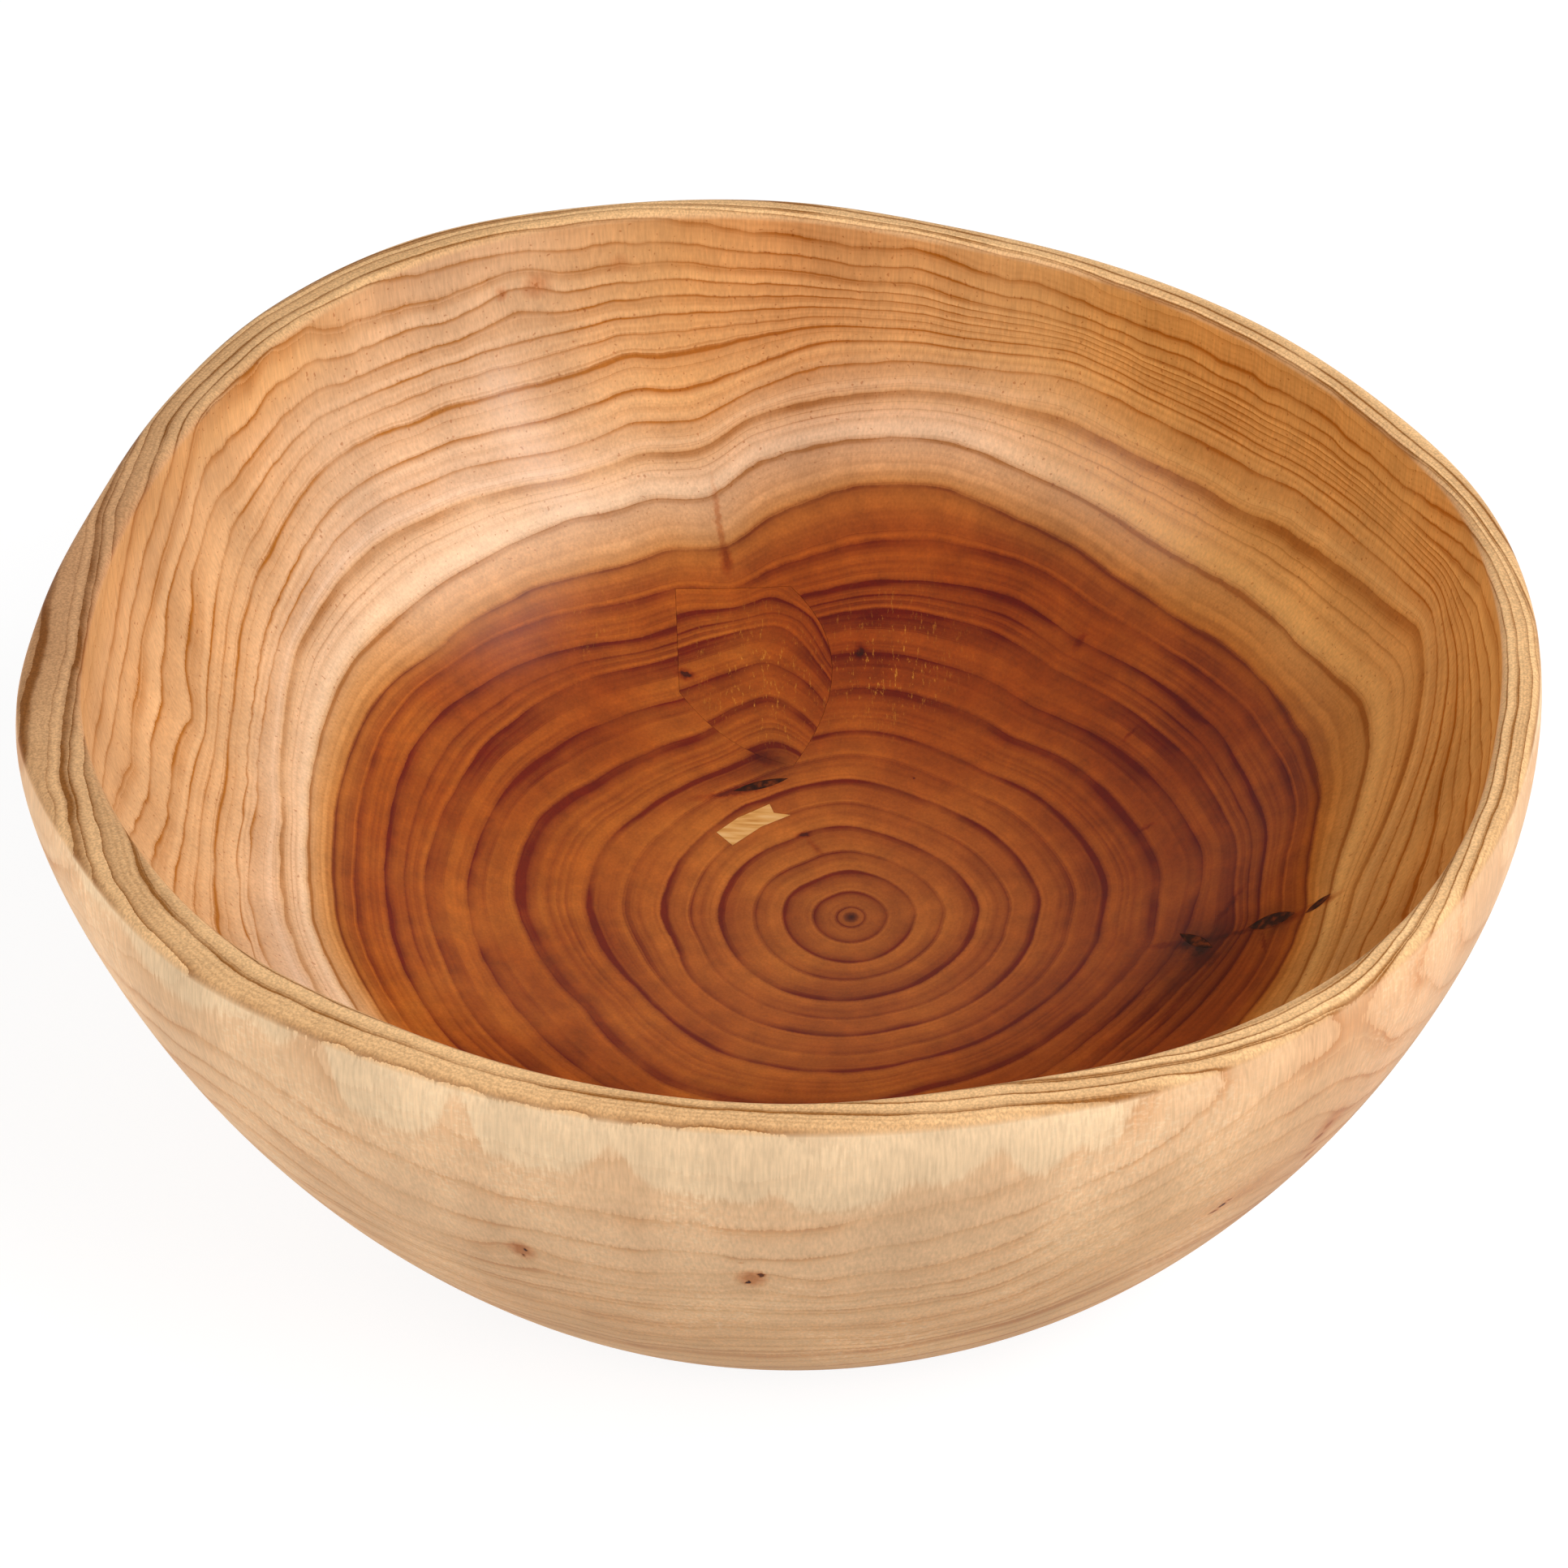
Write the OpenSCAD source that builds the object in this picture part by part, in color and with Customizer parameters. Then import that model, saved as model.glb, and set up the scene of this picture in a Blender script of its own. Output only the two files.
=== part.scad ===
// Dough bowl carved from one round of a tree trunk, with its let-in repairs.
// The trunk's axis stands upright: the rim keeps the trunk's lobed outline, the foot is round and flat.
// Origin: middle of the footprint, on the table. +Z up, -Y towards the front.

/* [Bowl] */
// Mean diameter of the rim's outer edge
rim_d = 335; // [300:1:370]
// Height from the table to the top of the rim
bowl_h = 130; // [112:1:150]
// Diameter of the flat foot
foot_d = 174; // [140:1:190]
// How far the foot sits forward of the rim's middle
foot_forward = 9; // [0:0.5:12]
// How far the foot sits to the right of the rim's middle
foot_right = 2.4; // [0:0.2:6]
// Mean thickness of the wall at the rim
rim_t = 9.3; // [7:0.1:13]
// Thickness of the floor at its middle
floor_t = 20; // [14:0.5:26]
// Radius that softens both edges of the rim
rim_round = 2.4; // [1:0.1:4]

/* [Profile] */
// How far the heel runs out level from the foot before it turns up
heel_reach = 29; // [15:0.5:34]
// How far below the rim the outer wall swells most
shoulder_drop = 37; // [20:1:50]
// How far the outer wall's curve is drawn out past the rim
shoulder_swell = 6.5; // [0:0.5:10]
// How far the floor runs out level from its middle before it turns up
floor_reach = 118; // [95:1:125]
// How far below the rim the inner wall stands nearly upright
wall_drop = 50; // [30:1:60]

/* [Wedge patch] */
// Width of the shield-shaped patch, across the wall
wedge_w = 37.5; // [25:0.5:50]
// Length of the patch, down the wall
wedge_l = 50; // [35:0.5:60]
// Depth that the patch is let in
wedge_depth = 6; // [3:0.25:8]
// Direction of the patch, counted from +X towards +Y
wedge_angle = 94; // [85:0.5:105]

/* [Sliver patch] */
// Length of the pale sliver
sliver_l = 18; // [12:0.5:22]
// Width of the sliver
sliver_w = 6.6; // [4:0.2:8]
// Depth that the sliver is let in
sliver_depth = 3; // [2:0.25:6]
// Distance from the middle of the slit under the wedge down to the middle of the sliver
sliver_below_toe = 11.5; // [9.5:0.5:16]
// Direction of the sliver, counted from +X towards +Y
sliver_angle = 97.5; // [94:0.5:104]
// Turn of the sliver in the floor's face
sliver_turn = 28; // [0:1:40]

/* [Dark fillers] */
// Depth of the checks, and of the filler in them
fill_depth = 4; // [2:0.25:7]
// Length of the filler in the slit under the wedge's toe
toe_fill_l = 14; // [8:0.5:16]
// Width of the filler in the slit under the wedge's toe
toe_fill_w = 2.4; // [1.5:0.1:3]
// Distance from the wedge's toe down to the middle of the slit
toe_gap = 5.5; // [4.5:0.25:9]
// Length of the filler at the inner end of the right-hand check
inner_fill_l = 12; // [6:0.5:14]
// Width of the filler at the inner end of the check
inner_fill_w = 2.8; // [1.5:0.1:4]
// Length of the filler in the middle of the check
middle_fill_l = 12.5; // [8:0.5:15]
// Width of the filler in the middle of the check
middle_fill_w = 4.6; // [3:0.1:6]
// Length of the filler at the outer end of the check
outer_fill_l = 7.5; // [4:0.5:9]
// Width of the filler at the outer end of the check
outer_fill_w = 2.4; // [1.5:0.1:4]
// Sound wood left along the check between its inner and middle fillers
inner_check_gap = 7; // [4:0.5:10]
// Sound wood left along the check between its middle and outer fillers
outer_check_gap = 2.6; // [1.5:0.1:5]

/* [Hidden] */
// Glue line left at the sides of every let-in piece
glue_gap = 0.15;
// How far a pocket's cut stands out past the inner face
cut_over = 12;
// Columns round the bowl, and steps up each part of its section
columns = 96;
outer_steps = 12;
round_steps = 3;
inner_steps = 14;
curve_steps = 8;
slice_columns = 8;

// Trunk outline at the rim, one radius each 15 degrees from +X, as shares of the mean radius
rim_outline_shares = [
    0.986, 0.980, 0.962, 0.959, 0.959, 0.969, 1.006, 1.030, 1.050, 1.027, 0.984, 0.958,
    0.972, 1.005, 1.008, 1.019, 1.008, 1.008, 1.013, 1.024, 1.040, 1.030, 1.009, 0.992];
// Wall thickness at the rim, in the same directions, as shares of the mean thickness
rim_wall_shares = [
    0.88, 0.77, 0.76, 0.80, 0.74, 0.80, 0.82, 0.78, 1.06, 1.24, 1.19, 1.06,
    1.28, 1.52, 1.38, 1.36, 1.19, 1.00, 0.92, 1.14, 1.04, 0.80, 0.76, 0.90];
// Most of the wall's thickness that the rounding of one edge may take
round_limit_share = 0.42;
// Places of the wedge and of the check's middle filler on the inner face, from the floor's middle (0)
// to the rim (1)
wedge_place_share = 0.335;
middle_place_share = 0.432;
// Directions of the dark fillers, and their turns in the inner face
toe_angle = 94.5;
inner_angle = -3.5;
middle_angle = -5;
outer_angle = -6;
toe_turn = 13;
inner_turn = 43;
middle_turn = 80;
outer_turn = 106;
// Step used to take a direction along the inner face, in place shares and in degrees
tangent_step_share = 0.01;
tangent_step_angle = 1;

// Shield outline of the wedge patch, as shares of its width and length: straight left and top edges,
// a round right edge from shoulder to toe, and a swelled slant back from the toe to the left edge
shield_top_left_share = [-0.5, 0.5];
shield_shoulder_share = [0.26, 0.5];
shield_bulge_share = [0.78, 0.10];
shield_toe_share = [0.22, -0.5];
shield_slant_share = [-0.21, -0.40];
shield_low_left_share = [-0.5, -0.06];
// Outline of the sliver, as shares of its length and width: blunt left end, drawn-out right tip
sliver_outline_shares = [[-0.5, 0.35], [-0.45, -0.5], [0.06, -0.34], [0.5, -0.5],
    [0.34, -0.06], [0.38, 0.38], [-0.11, 0.5]];

rim_r = rim_d / 2;
foot_r = foot_d / 2;
foot_shift = [foot_right, -foot_forward];

// Smooth closed curve through a ring of shares, read at an angle in degrees
function ring_share(shares, i) = shares[(i + 2 * len(shares)) % len(shares)];
function loop_share(shares, angle) =
    let(u = angle / 360 * len(shares),
        i = floor(u),
        f = u - i,
        a = ring_share(shares, i - 1),
        b = ring_share(shares, i),
        c = ring_share(shares, i + 1),
        d = ring_share(shares, i + 2))
    b + f / 2 * (c - a + f * (2 * a - 5 * b + 4 * c - d + f * (3 * (b - c) + d - a)));

// Point on a cubic curve with four control points, and on a quadratic one with three
function cubic(p, t) =
    p[0] * pow(1 - t, 3) + 3 * p[1] * pow(1 - t, 2) * t + 3 * p[2] * (1 - t) * pow(t, 2) + p[3] * pow(t, 3);
function quadratic(p, t) = p[0] * pow(1 - t, 2) + 2 * p[1] * (1 - t) * t + p[2] * pow(t, 2);

// Rim: outer radius, wall thickness, inner radius and edge rounding in one direction
function rim_outer(angle) = rim_r * loop_share(rim_outline_shares, angle);
function rim_wall(angle) = rim_t * loop_share(rim_wall_shares, angle);
function rim_inner(angle) = rim_outer(angle) - rim_wall(angle);
function edge_round(angle) = min(rim_round, rim_wall(angle) * round_limit_share);

// Middle of the lobed outline, which the origin stands under
column_angles = [for (c = [0 : columns - 1]) c * 360 / columns];
outline_x = [for (a = column_angles) rim_outer(a) * cos(a)];
outline_y = [for (a = column_angles) rim_outer(a) * sin(a)];
rim_middle = [(max(outline_x) + min(outline_x)) / 2, (max(outline_y) + min(outline_y)) / 2];

// Point of the bowl in one direction: radius, height, and a sideways shift
function bowl_point(angle, r, z, shift = [0, 0]) =
    [r * cos(angle) - rim_middle[0] + shift[0], r * sin(angle) - rim_middle[1] + shift[1], z];

// Outer face: foot, heel and shoulder curve, t from foot (0) to rim (1); the trunk's lobes and the
// rim's middle take over from the round foot with height
function outer_point(angle, t) =
    let(top = bowl_h - edge_round(angle),
        p = cubic([[foot_r, 0], [foot_r + heel_reach, 0],
            [rim_r + shoulder_swell, bowl_h - shoulder_drop], [rim_r, top]], t),
        rise = p[1] / top)
    bowl_point(angle, p[0] * (1 + (rim_outer(angle) / rim_r - 1) * rise), p[1], foot_shift * (1 - rise));

// Inner face: floor and wall curve, t from the floor's middle (0) to the rim (1)
function inner_point(angle, t) =
    let(top = bowl_h - edge_round(angle),
        mean_r = rim_r - rim_t,
        p = cubic([[0, floor_t], [floor_reach, floor_t], [mean_r, bowl_h - wall_drop], [mean_r, top]], t),
        rise = (p[1] - floor_t) / (top - floor_t))
    bowl_point(angle, p[0] * (1 + (rim_inner(angle) / mean_r - 1) * rise), p[1]);

// Rounded edges of the rim, turn from 0 at the outer face's end to 90 on top, and back down inside
function outer_edge(angle, turn) =
    let(e = edge_round(angle))
    bowl_point(angle, rim_outer(angle) - e + e * cos(turn), bowl_h - e + e * sin(turn));
function inner_edge(angle, turn) =
    let(e = edge_round(angle))
    bowl_point(angle, rim_inner(angle) + e - e * sin(turn), bowl_h - e + e * cos(turn));

// Section of the bowl in one direction, from the foot's edge over the rim to the floor's middle
function section(angle) = concat(
    [for (i = [0 : outer_steps]) outer_point(angle, i / outer_steps)],
    [for (i = [1 : round_steps]) outer_edge(angle, i * 90 / round_steps)],
    [for (i = [0 : round_steps - 1]) inner_edge(angle, i * 90 / round_steps)],
    [for (i = [inner_steps : -1 : 1]) inner_point(angle, i / inner_steps)]);

// The bowl before any repair: its sections joined round the trunk's axis
module bowl_blank() {
    rows = len(section(0));
    points = concat(
        [for (a = column_angles) each section(a)],
        [bowl_point(0, 0, 0, foot_shift), bowl_point(0, 0, floor_t)]);
    foot_middle = columns * rows;
    floor_middle = foot_middle + 1;
    walls = [for (c = [0 : columns - 1], r = [0 : rows - 2])
        let(here = c * rows + r, next = (c + 1) % columns * rows + r)
        each [[here, here + 1, next + 1], [here, next + 1, next]]];
    ends = [for (c = [0 : columns - 1])
        let(here = c * rows, next = (c + 1) % columns * rows)
        each [[foot_middle, here, next], [floor_middle, next + rows - 1, here + rows - 1]]];
    polyhedron(points, concat(walls, ends));
}

// Air in the hollow, over the inner face of a few columns either side of a direction: those columns of
// the face, closed by fans from a point over the floor's middle, level with the rim
module hollow_slice(angle) {
    first = floor(angle / 360 * columns) - slice_columns;
    last = 2 * slice_columns + 1;
    points = concat(
        [for (c = [0 : last], i = [1 : inner_steps]) inner_point((first + c) * 360 / columns, i / inner_steps)],
        [bowl_point(0, 0, floor_t), bowl_point(0, 0, bowl_h)]);
    floor_middle = (last + 1) * inner_steps;
    mouth_middle = floor_middle + 1;
    face = [for (c = [0 : last - 1], i = [0 : inner_steps - 2])
        let(here = c * inner_steps + i, next = here + inner_steps)
        each [[here, here + 1, next], [here + 1, next + 1, next]]];
    ends = [for (c = [0 : last - 1])
        let(here = c * inner_steps, next = here + inner_steps)
        each [[floor_middle, here, next], [mouth_middle, next + inner_steps - 1, next - 1]]];
    last_column = last * inner_steps;
    sides = concat(
        [for (i = [0 : inner_steps - 2])
            each [[mouth_middle, i + 1, i], [mouth_middle, last_column + i, last_column + i + 1]]],
        [[mouth_middle, 0, floor_middle], [mouth_middle, floor_middle, last_column]]);
    polyhedron(points, concat(face, ends, sides));
}

// Seat on the inner face: x runs round the bowl, y up the wall, z out of the face into the hollow
function unit(v) = v / norm(v);
function seat_frame(angle, place) =
    let(p = inner_point(angle, place),
        round_way = unit(inner_point(angle - tangent_step_angle, place)
            - inner_point(angle + tangent_step_angle, place)),
        up_way = inner_point(angle, place + tangent_step_share) - inner_point(angle, place - tangent_step_share),
        out_way = unit(cross(round_way, up_way)),
        y_way = cross(out_way, round_way))
    [for (k = [0 : 2]) [round_way[k], y_way[k], out_way[k], p[k]]];

// Place a given run further up the wall, or down it where the run is negative: the face's pace halfway
// along the run turns it into a change of share
function pace(angle, place) =
    norm(inner_point(angle, place + tangent_step_share) - inner_point(angle, place - tangent_step_share))
    / (2 * tangent_step_share);
function place_along(angle, place, run) =
    place + run / pace(angle, place + run / pace(angle, place) / 2);
toe_place = place_along(toe_angle, wedge_place_share, -wedge_l / 2 - toe_gap);
sliver_place = place_along(sliver_angle, toe_place, -sliver_below_toe);
inner_place = place_along(inner_angle, middle_place_share,
    -(middle_fill_l + inner_fill_l) / 2 - inner_check_gap);
outer_place = place_along(outer_angle, middle_place_share,
    (middle_fill_l + outer_fill_l) / 2 + outer_check_gap);

// Prism through the inner face at a seat, as deep as a pocket or the piece in it
module let_in(angle, place, turn, depth, outline) {
    multmatrix(concat(seat_frame(angle, place), [[0, 0, 0, 1]]))
        rotate(turn)
            translate([0, 0, -depth])
                linear_extrude(depth + cut_over)
                    polygon(outline);
}

// Outlines of the let-in pieces, drawn in by the glue line at their sides
function sized(shares, w, l) = [for (s = shares) [s[0] * w, s[1] * l]];
function curve(shares) = [for (i = [1 : curve_steps]) quadratic(shares, i / curve_steps)];
function shield(w, l) = sized(concat(
    [shield_top_left_share, shield_shoulder_share],
    curve([shield_shoulder_share, shield_bulge_share, shield_toe_share]),
    curve([shield_toe_share, shield_slant_share, shield_low_left_share])), w, l);
function lens(l, w) = concat(
    [for (i = [-curve_steps : curve_steps - 1])
        let(s = i / curve_steps) [s * l / 2, -w / 2 * (1 - pow(s, 2))]],
    [for (i = [curve_steps : -1 : 1 - curve_steps])
        let(s = i / curve_steps) [s * l / 2, w / 2 * (1 - pow(s, 2))]]);

module wedge_shape(gap) {
    let_in(wedge_angle, wedge_place_share, 0, wedge_depth, shield(wedge_w - 2 * gap, wedge_l - 2 * gap));
}

module sliver_shape(gap) {
    let_in(sliver_angle, sliver_place, sliver_turn, sliver_depth,
        sized(sliver_outline_shares, sliver_l - 2 * gap, sliver_w - 2 * gap));
}

module toe_shape(gap) {
    let_in(toe_angle, toe_place, toe_turn, fill_depth, lens(toe_fill_l - 2 * gap, toe_fill_w - 2 * gap));
}

module inner_check_shape(gap) {
    let_in(inner_angle, inner_place, inner_turn, fill_depth,
        lens(inner_fill_l - 2 * gap, inner_fill_w - 2 * gap));
}

module middle_check_shape(gap) {
    let_in(middle_angle, middle_place_share, middle_turn, fill_depth,
        lens(middle_fill_l - 2 * gap, middle_fill_w - 2 * gap));
}

module outer_check_shape(gap) {
    let_in(outer_angle, outer_place, outer_turn, fill_depth,
        lens(outer_fill_l - 2 * gap, outer_fill_w - 2 * gap));
}

// Carved bowl, with a pocket for every let-in piece
module bowl_body() {
    color("peru") difference() {
        bowl_blank();
        wedge_shape(0);
        sliver_shape(0);
        toe_shape(0);
        inner_check_shape(0);
        middle_check_shape(0);
        outer_check_shape(0);
    }
}

// Shield-shaped patch of the same wood, flush with the inner face
module wedge_patch() {
    color("sienna") difference() {
        wedge_shape(glue_gap);
        hollow_slice(wedge_angle);
    }
}

// Pale sliver of sapwood let in near the heart of the trunk
module sliver_patch() {
    color("burlywood") difference() {
        sliver_shape(glue_gap);
        hollow_slice(sliver_angle);
    }
}

// Dark filler in the slit under the wedge's toe
module toe_filler() {
    color("#2b1712") difference() {
        toe_shape(glue_gap);
        hollow_slice(toe_angle);
    }
}

// Dark filler in the right-hand check, in three pools along it
module inner_check_filler() {
    color("#2b1712") difference() {
        inner_check_shape(glue_gap);
        hollow_slice(inner_angle);
    }
}

module middle_check_filler() {
    color("#2b1712") difference() {
        middle_check_shape(glue_gap);
        hollow_slice(middle_angle);
    }
}

module outer_check_filler() {
    color("#2b1712") difference() {
        outer_check_shape(glue_gap);
        hollow_slice(outer_angle);
    }
}

bowl_body();
wedge_patch();
sliver_patch();
toe_filler();
inner_check_filler();
middle_check_filler();
outer_check_filler();
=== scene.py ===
from types import SimpleNamespace

import bpy
import numpy as np
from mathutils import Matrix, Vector


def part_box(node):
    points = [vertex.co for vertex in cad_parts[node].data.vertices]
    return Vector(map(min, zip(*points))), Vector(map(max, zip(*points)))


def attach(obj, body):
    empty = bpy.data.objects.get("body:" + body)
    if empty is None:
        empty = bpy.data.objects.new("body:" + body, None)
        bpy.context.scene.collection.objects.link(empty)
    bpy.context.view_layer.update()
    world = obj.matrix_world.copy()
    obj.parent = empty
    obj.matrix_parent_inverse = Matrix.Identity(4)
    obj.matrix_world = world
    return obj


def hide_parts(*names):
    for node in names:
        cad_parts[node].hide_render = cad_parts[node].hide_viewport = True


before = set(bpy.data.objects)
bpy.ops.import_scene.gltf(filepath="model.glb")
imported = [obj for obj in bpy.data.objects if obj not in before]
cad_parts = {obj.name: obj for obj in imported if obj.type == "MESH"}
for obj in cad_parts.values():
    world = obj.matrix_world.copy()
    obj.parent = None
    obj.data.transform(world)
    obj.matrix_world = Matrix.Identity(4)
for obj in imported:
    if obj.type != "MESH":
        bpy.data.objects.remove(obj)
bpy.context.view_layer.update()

# Sizes of the bowl in mm, as the solids have them
BOWL_H = 130.0
RIM_D = 335.0
RIM_T = 9.3
RIM_ROUND = 2.4
ROUND_LIMIT_SHARE = 0.42
FOOT_D = 174.0
FOOT_FORWARD = 9.0
FOOT_RIGHT = 2.4
FLOOR_T = 20.0
HEEL_REACH = 29.0
SHOULDER_DROP = 37.0
SHOULDER_SWELL = 6.5
FLOOR_REACH = 118.0
WALL_DROP = 50.0

# The trunk's outline at the rim, every 15 degrees from +X, as shares of RIM_D / 2
RIM_OUTLINE_SHARES = np.array([
    0.986, 0.980, 0.962, 0.959, 0.959, 0.969, 1.006, 1.030, 1.050, 1.027, 0.984, 0.958,
    0.972, 1.005, 1.008, 1.019, 1.008, 1.008, 1.013, 1.024, 1.040, 1.030, 1.009, 0.992])
# The wall at the rim, in the same directions, as shares of RIM_T
RIM_WALL_SHARES = np.array([
    0.88, 0.77, 0.76, 0.80, 0.74, 0.80, 0.82, 0.78, 1.06, 1.24, 1.19, 1.06,
    1.28, 1.52, 1.38, 1.36, 1.19, 1.00, 0.92, 1.14, 1.04, 0.80, 0.76, 0.90])

# The let-in repairs in mm and degrees, as the solids have them
GLUE_GAP = 0.15
CUT_OVER = 12.0
WEDGE_W, WEDGE_L, WEDGE_DEPTH = 37.5, 50.0, 6.0
WEDGE_ANGLE, WEDGE_PLACE = 94.0, 0.335
TOE_L, TOE_W, TOE_ANGLE, TOE_TURN, TOE_GAP = 14.0, 2.4, 94.5, 13.0, 5.5
SLIVER_L, SLIVER_W, SLIVER_DEPTH = 18.0, 6.6, 3.0
SLIVER_ANGLE, SLIVER_TURN, SLIVER_BELOW_TOE = 97.5, 28.0, 11.5
FILL_DEPTH = 4.0
INNER_L, INNER_W, INNER_ANGLE, INNER_TURN, INNER_GAP = 12.0, 2.8, -3.5, 43.0, 7.0
MIDDLE_L, MIDDLE_W, MIDDLE_ANGLE, MIDDLE_TURN, MIDDLE_PLACE = 12.5, 4.6, -5.0, 80.0, 0.432
OUTER_L, OUTER_W, OUTER_ANGLE, OUTER_TURN, OUTER_GAP = 7.5, 2.4, -6.0, 106.0, 2.6

# How finely the meshes are cut
COLUMNS = 600
FOOT_ROWS, OUTER_ROWS, EDGE_ROWS, RIM_ROWS, INNER_ROWS = 10, 52, 6, 8, 78
WEDGE_STEP, SLIVER_STEP, FILL_STEP = 1.2, 0.6, 0.5
OUTLINE_STEPS, BULGE_STEPS, SLANT_STEPS, LENS_STEPS = 96, 12, 10, 16
# How many halvings find a height on the hollow, and the way out of a seat between two moves in mm
HEIGHT_HALVINGS, SEAT_HALVINGS = 32, 24
SEAT_LOW, SEAT_HIGH = -10.0, 25.0
# Steps to either side of a place on the hollow, in degrees and of its profile's parameter, for its slope
TURN_NUDGE, PROFILE_NUDGE = 1.0, 0.01

# The frame's own height sets what a millimetre is here
bowl_low, bowl_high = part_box("bowl_body")
MM = (bowl_high.z - bowl_low.z) / BOWL_H


# The bowl's form
def loop_share(shares, angle):
    """A smooth closed curve through shares set at even steps of a turn, read at angles in degrees."""
    count = len(shares)
    place = np.asarray(angle, float) / 360 * count
    step = np.floor(place).astype(int)
    f = place - step
    a, b, c, d = (shares[(step + k) % count] for k in (-1, 0, 1, 2))
    return b + f / 2 * (c - a + f * (2 * a - 5 * b + 4 * c - d + f * (3 * (b - c) + d - a)))


def cubic(a, b, c, d, t):
    """A cubic curve from a to d, drawn towards b and c on its way."""
    return a * (1 - t) ** 3 + 3 * b * (1 - t) ** 2 * t + 3 * c * (1 - t) * t ** 2 + d * t ** 3


def rim_outer(angle):
    """Distance from the axis to the rim's outer edge."""
    return RIM_D / 2 * loop_share(RIM_OUTLINE_SHARES, angle)


def rim_wall(angle):
    """Thickness of the wall at the rim."""
    return RIM_T * loop_share(RIM_WALL_SHARES, angle)


def edge_round(angle):
    """Radius of the rim's two rounded edges, never more than its share of the wall."""
    return np.minimum(RIM_ROUND, rim_wall(angle) * ROUND_LIMIT_SHARE)


def outline_middle():
    """Middle of the box round the rim's outline, where the frame has its origin."""
    angle = np.arange(OUTLINE_STEPS) * 360 / OUTLINE_STEPS
    x = rim_outer(angle) * np.cos(np.radians(angle))
    y = rim_outer(angle) * np.sin(np.radians(angle))
    return np.array([(x.max() + x.min()) / 2, (y.max() + y.min()) / 2])


MIDDLE = outline_middle()


def at_turn(angle, radius, height):
    """Points at an angle, a radius and a height about the axis, as x, y and z in mm."""
    turn = np.radians(angle)
    x = radius * np.cos(turn) - MIDDLE[0]
    y = radius * np.sin(turn) - MIDDLE[1]
    return np.stack(np.broadcast_arrays(x, y, height), -1)


def outer_face(angle, t):
    """Outer wall: a cubic profile from a foot set forward up to the rim, more lobed the higher it is."""
    top = BOWL_H - edge_round(angle)
    radius = cubic(FOOT_D / 2, FOOT_D / 2 + HEEL_REACH, RIM_D / 2 + SHOULDER_SWELL, RIM_D / 2, t)
    height = cubic(0, 0, BOWL_H - SHOULDER_DROP, top, t)
    rise = height / top
    points = at_turn(angle, radius * (1 + (rim_outer(angle) / (RIM_D / 2) - 1) * rise), height)
    points[..., 0] += FOOT_RIGHT * (1 - rise)
    points[..., 1] -= FOOT_FORWARD * (1 - rise)
    return points


def inner_face(angle, t):
    """Hollow: a cubic profile from the floor's middle to the rim, more lobed the higher it is."""
    top = BOWL_H - edge_round(angle)
    mean = RIM_D / 2 - RIM_T
    radius = cubic(0, FLOOR_REACH, mean, mean, t)
    height = cubic(FLOOR_T, FLOOR_T, BOWL_H - WALL_DROP, top, t)
    rise = (height - FLOOR_T) / (top - FLOOR_T)
    lobe = (rim_outer(angle) - rim_wall(angle)) / mean
    return at_turn(angle, radius * (1 + (lobe - 1) * rise), height)


def rim_edges(angle, turn):
    """The rim's outer and inner rounded edges: quarter circles from the wall up to the flat top."""
    radius = edge_round(angle)
    height = BOWL_H - radius + radius * np.sin(np.radians(turn))
    back = radius - radius * np.cos(np.radians(turn))
    outer = at_turn(angle, rim_outer(angle) - back, height)
    inner = at_turn(angle, rim_outer(angle) - rim_wall(angle) + back, height)
    return outer, inner


def inner_height(x, y):
    """Height of the hollow's face over plan points, found by halving the profile's parameter."""
    px, py = x + MIDDLE[0], y + MIDDLE[1]
    angle = np.degrees(np.arctan2(py, px)) % 360
    radius = np.hypot(px, py)
    low, high = np.zeros_like(radius), np.ones_like(radius)
    for _ in range(HEIGHT_HALVINGS):
        t = (low + high) / 2
        face = inner_face(angle, t)
        short = np.hypot(face[..., 0] + MIDDLE[0], face[..., 1] + MIDDLE[1]) < radius
        low, high = np.where(short, t, low), np.where(short, high, t)
    return inner_face(angle, (low + high) / 2)[..., 2]


# Meshes
def closed_mesh(name, rows, first, last):
    """A mesh of closed rows of points with quads between them, drawn to one point at each end."""
    count, columns, _ = rows.shape
    points = np.concatenate([[first], rows.reshape(-1, 3), [last]]) * MM
    here = 1 + np.arange((count - 1) * columns).reshape(count - 1, columns)
    beside = np.roll(here, -1, axis=1)
    quads = np.stack([here, beside, beside + columns, here + columns], -1).reshape(-1, 4)
    start = 1 + np.arange(columns)
    end = start + (count - 1) * columns
    fans = np.concatenate([
        np.stack([np.zeros_like(start), np.roll(start, -1), start], -1),
        np.stack([np.full_like(end, len(points) - 1), end, np.roll(end, -1)], -1)])
    mesh = bpy.data.meshes.new(name)
    mesh.from_pydata(points.tolist(), [], quads.tolist() + fans.tolist())
    piece = bpy.data.objects.new(name, mesh)
    bpy.context.scene.collection.objects.link(piece)
    return piece


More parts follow.
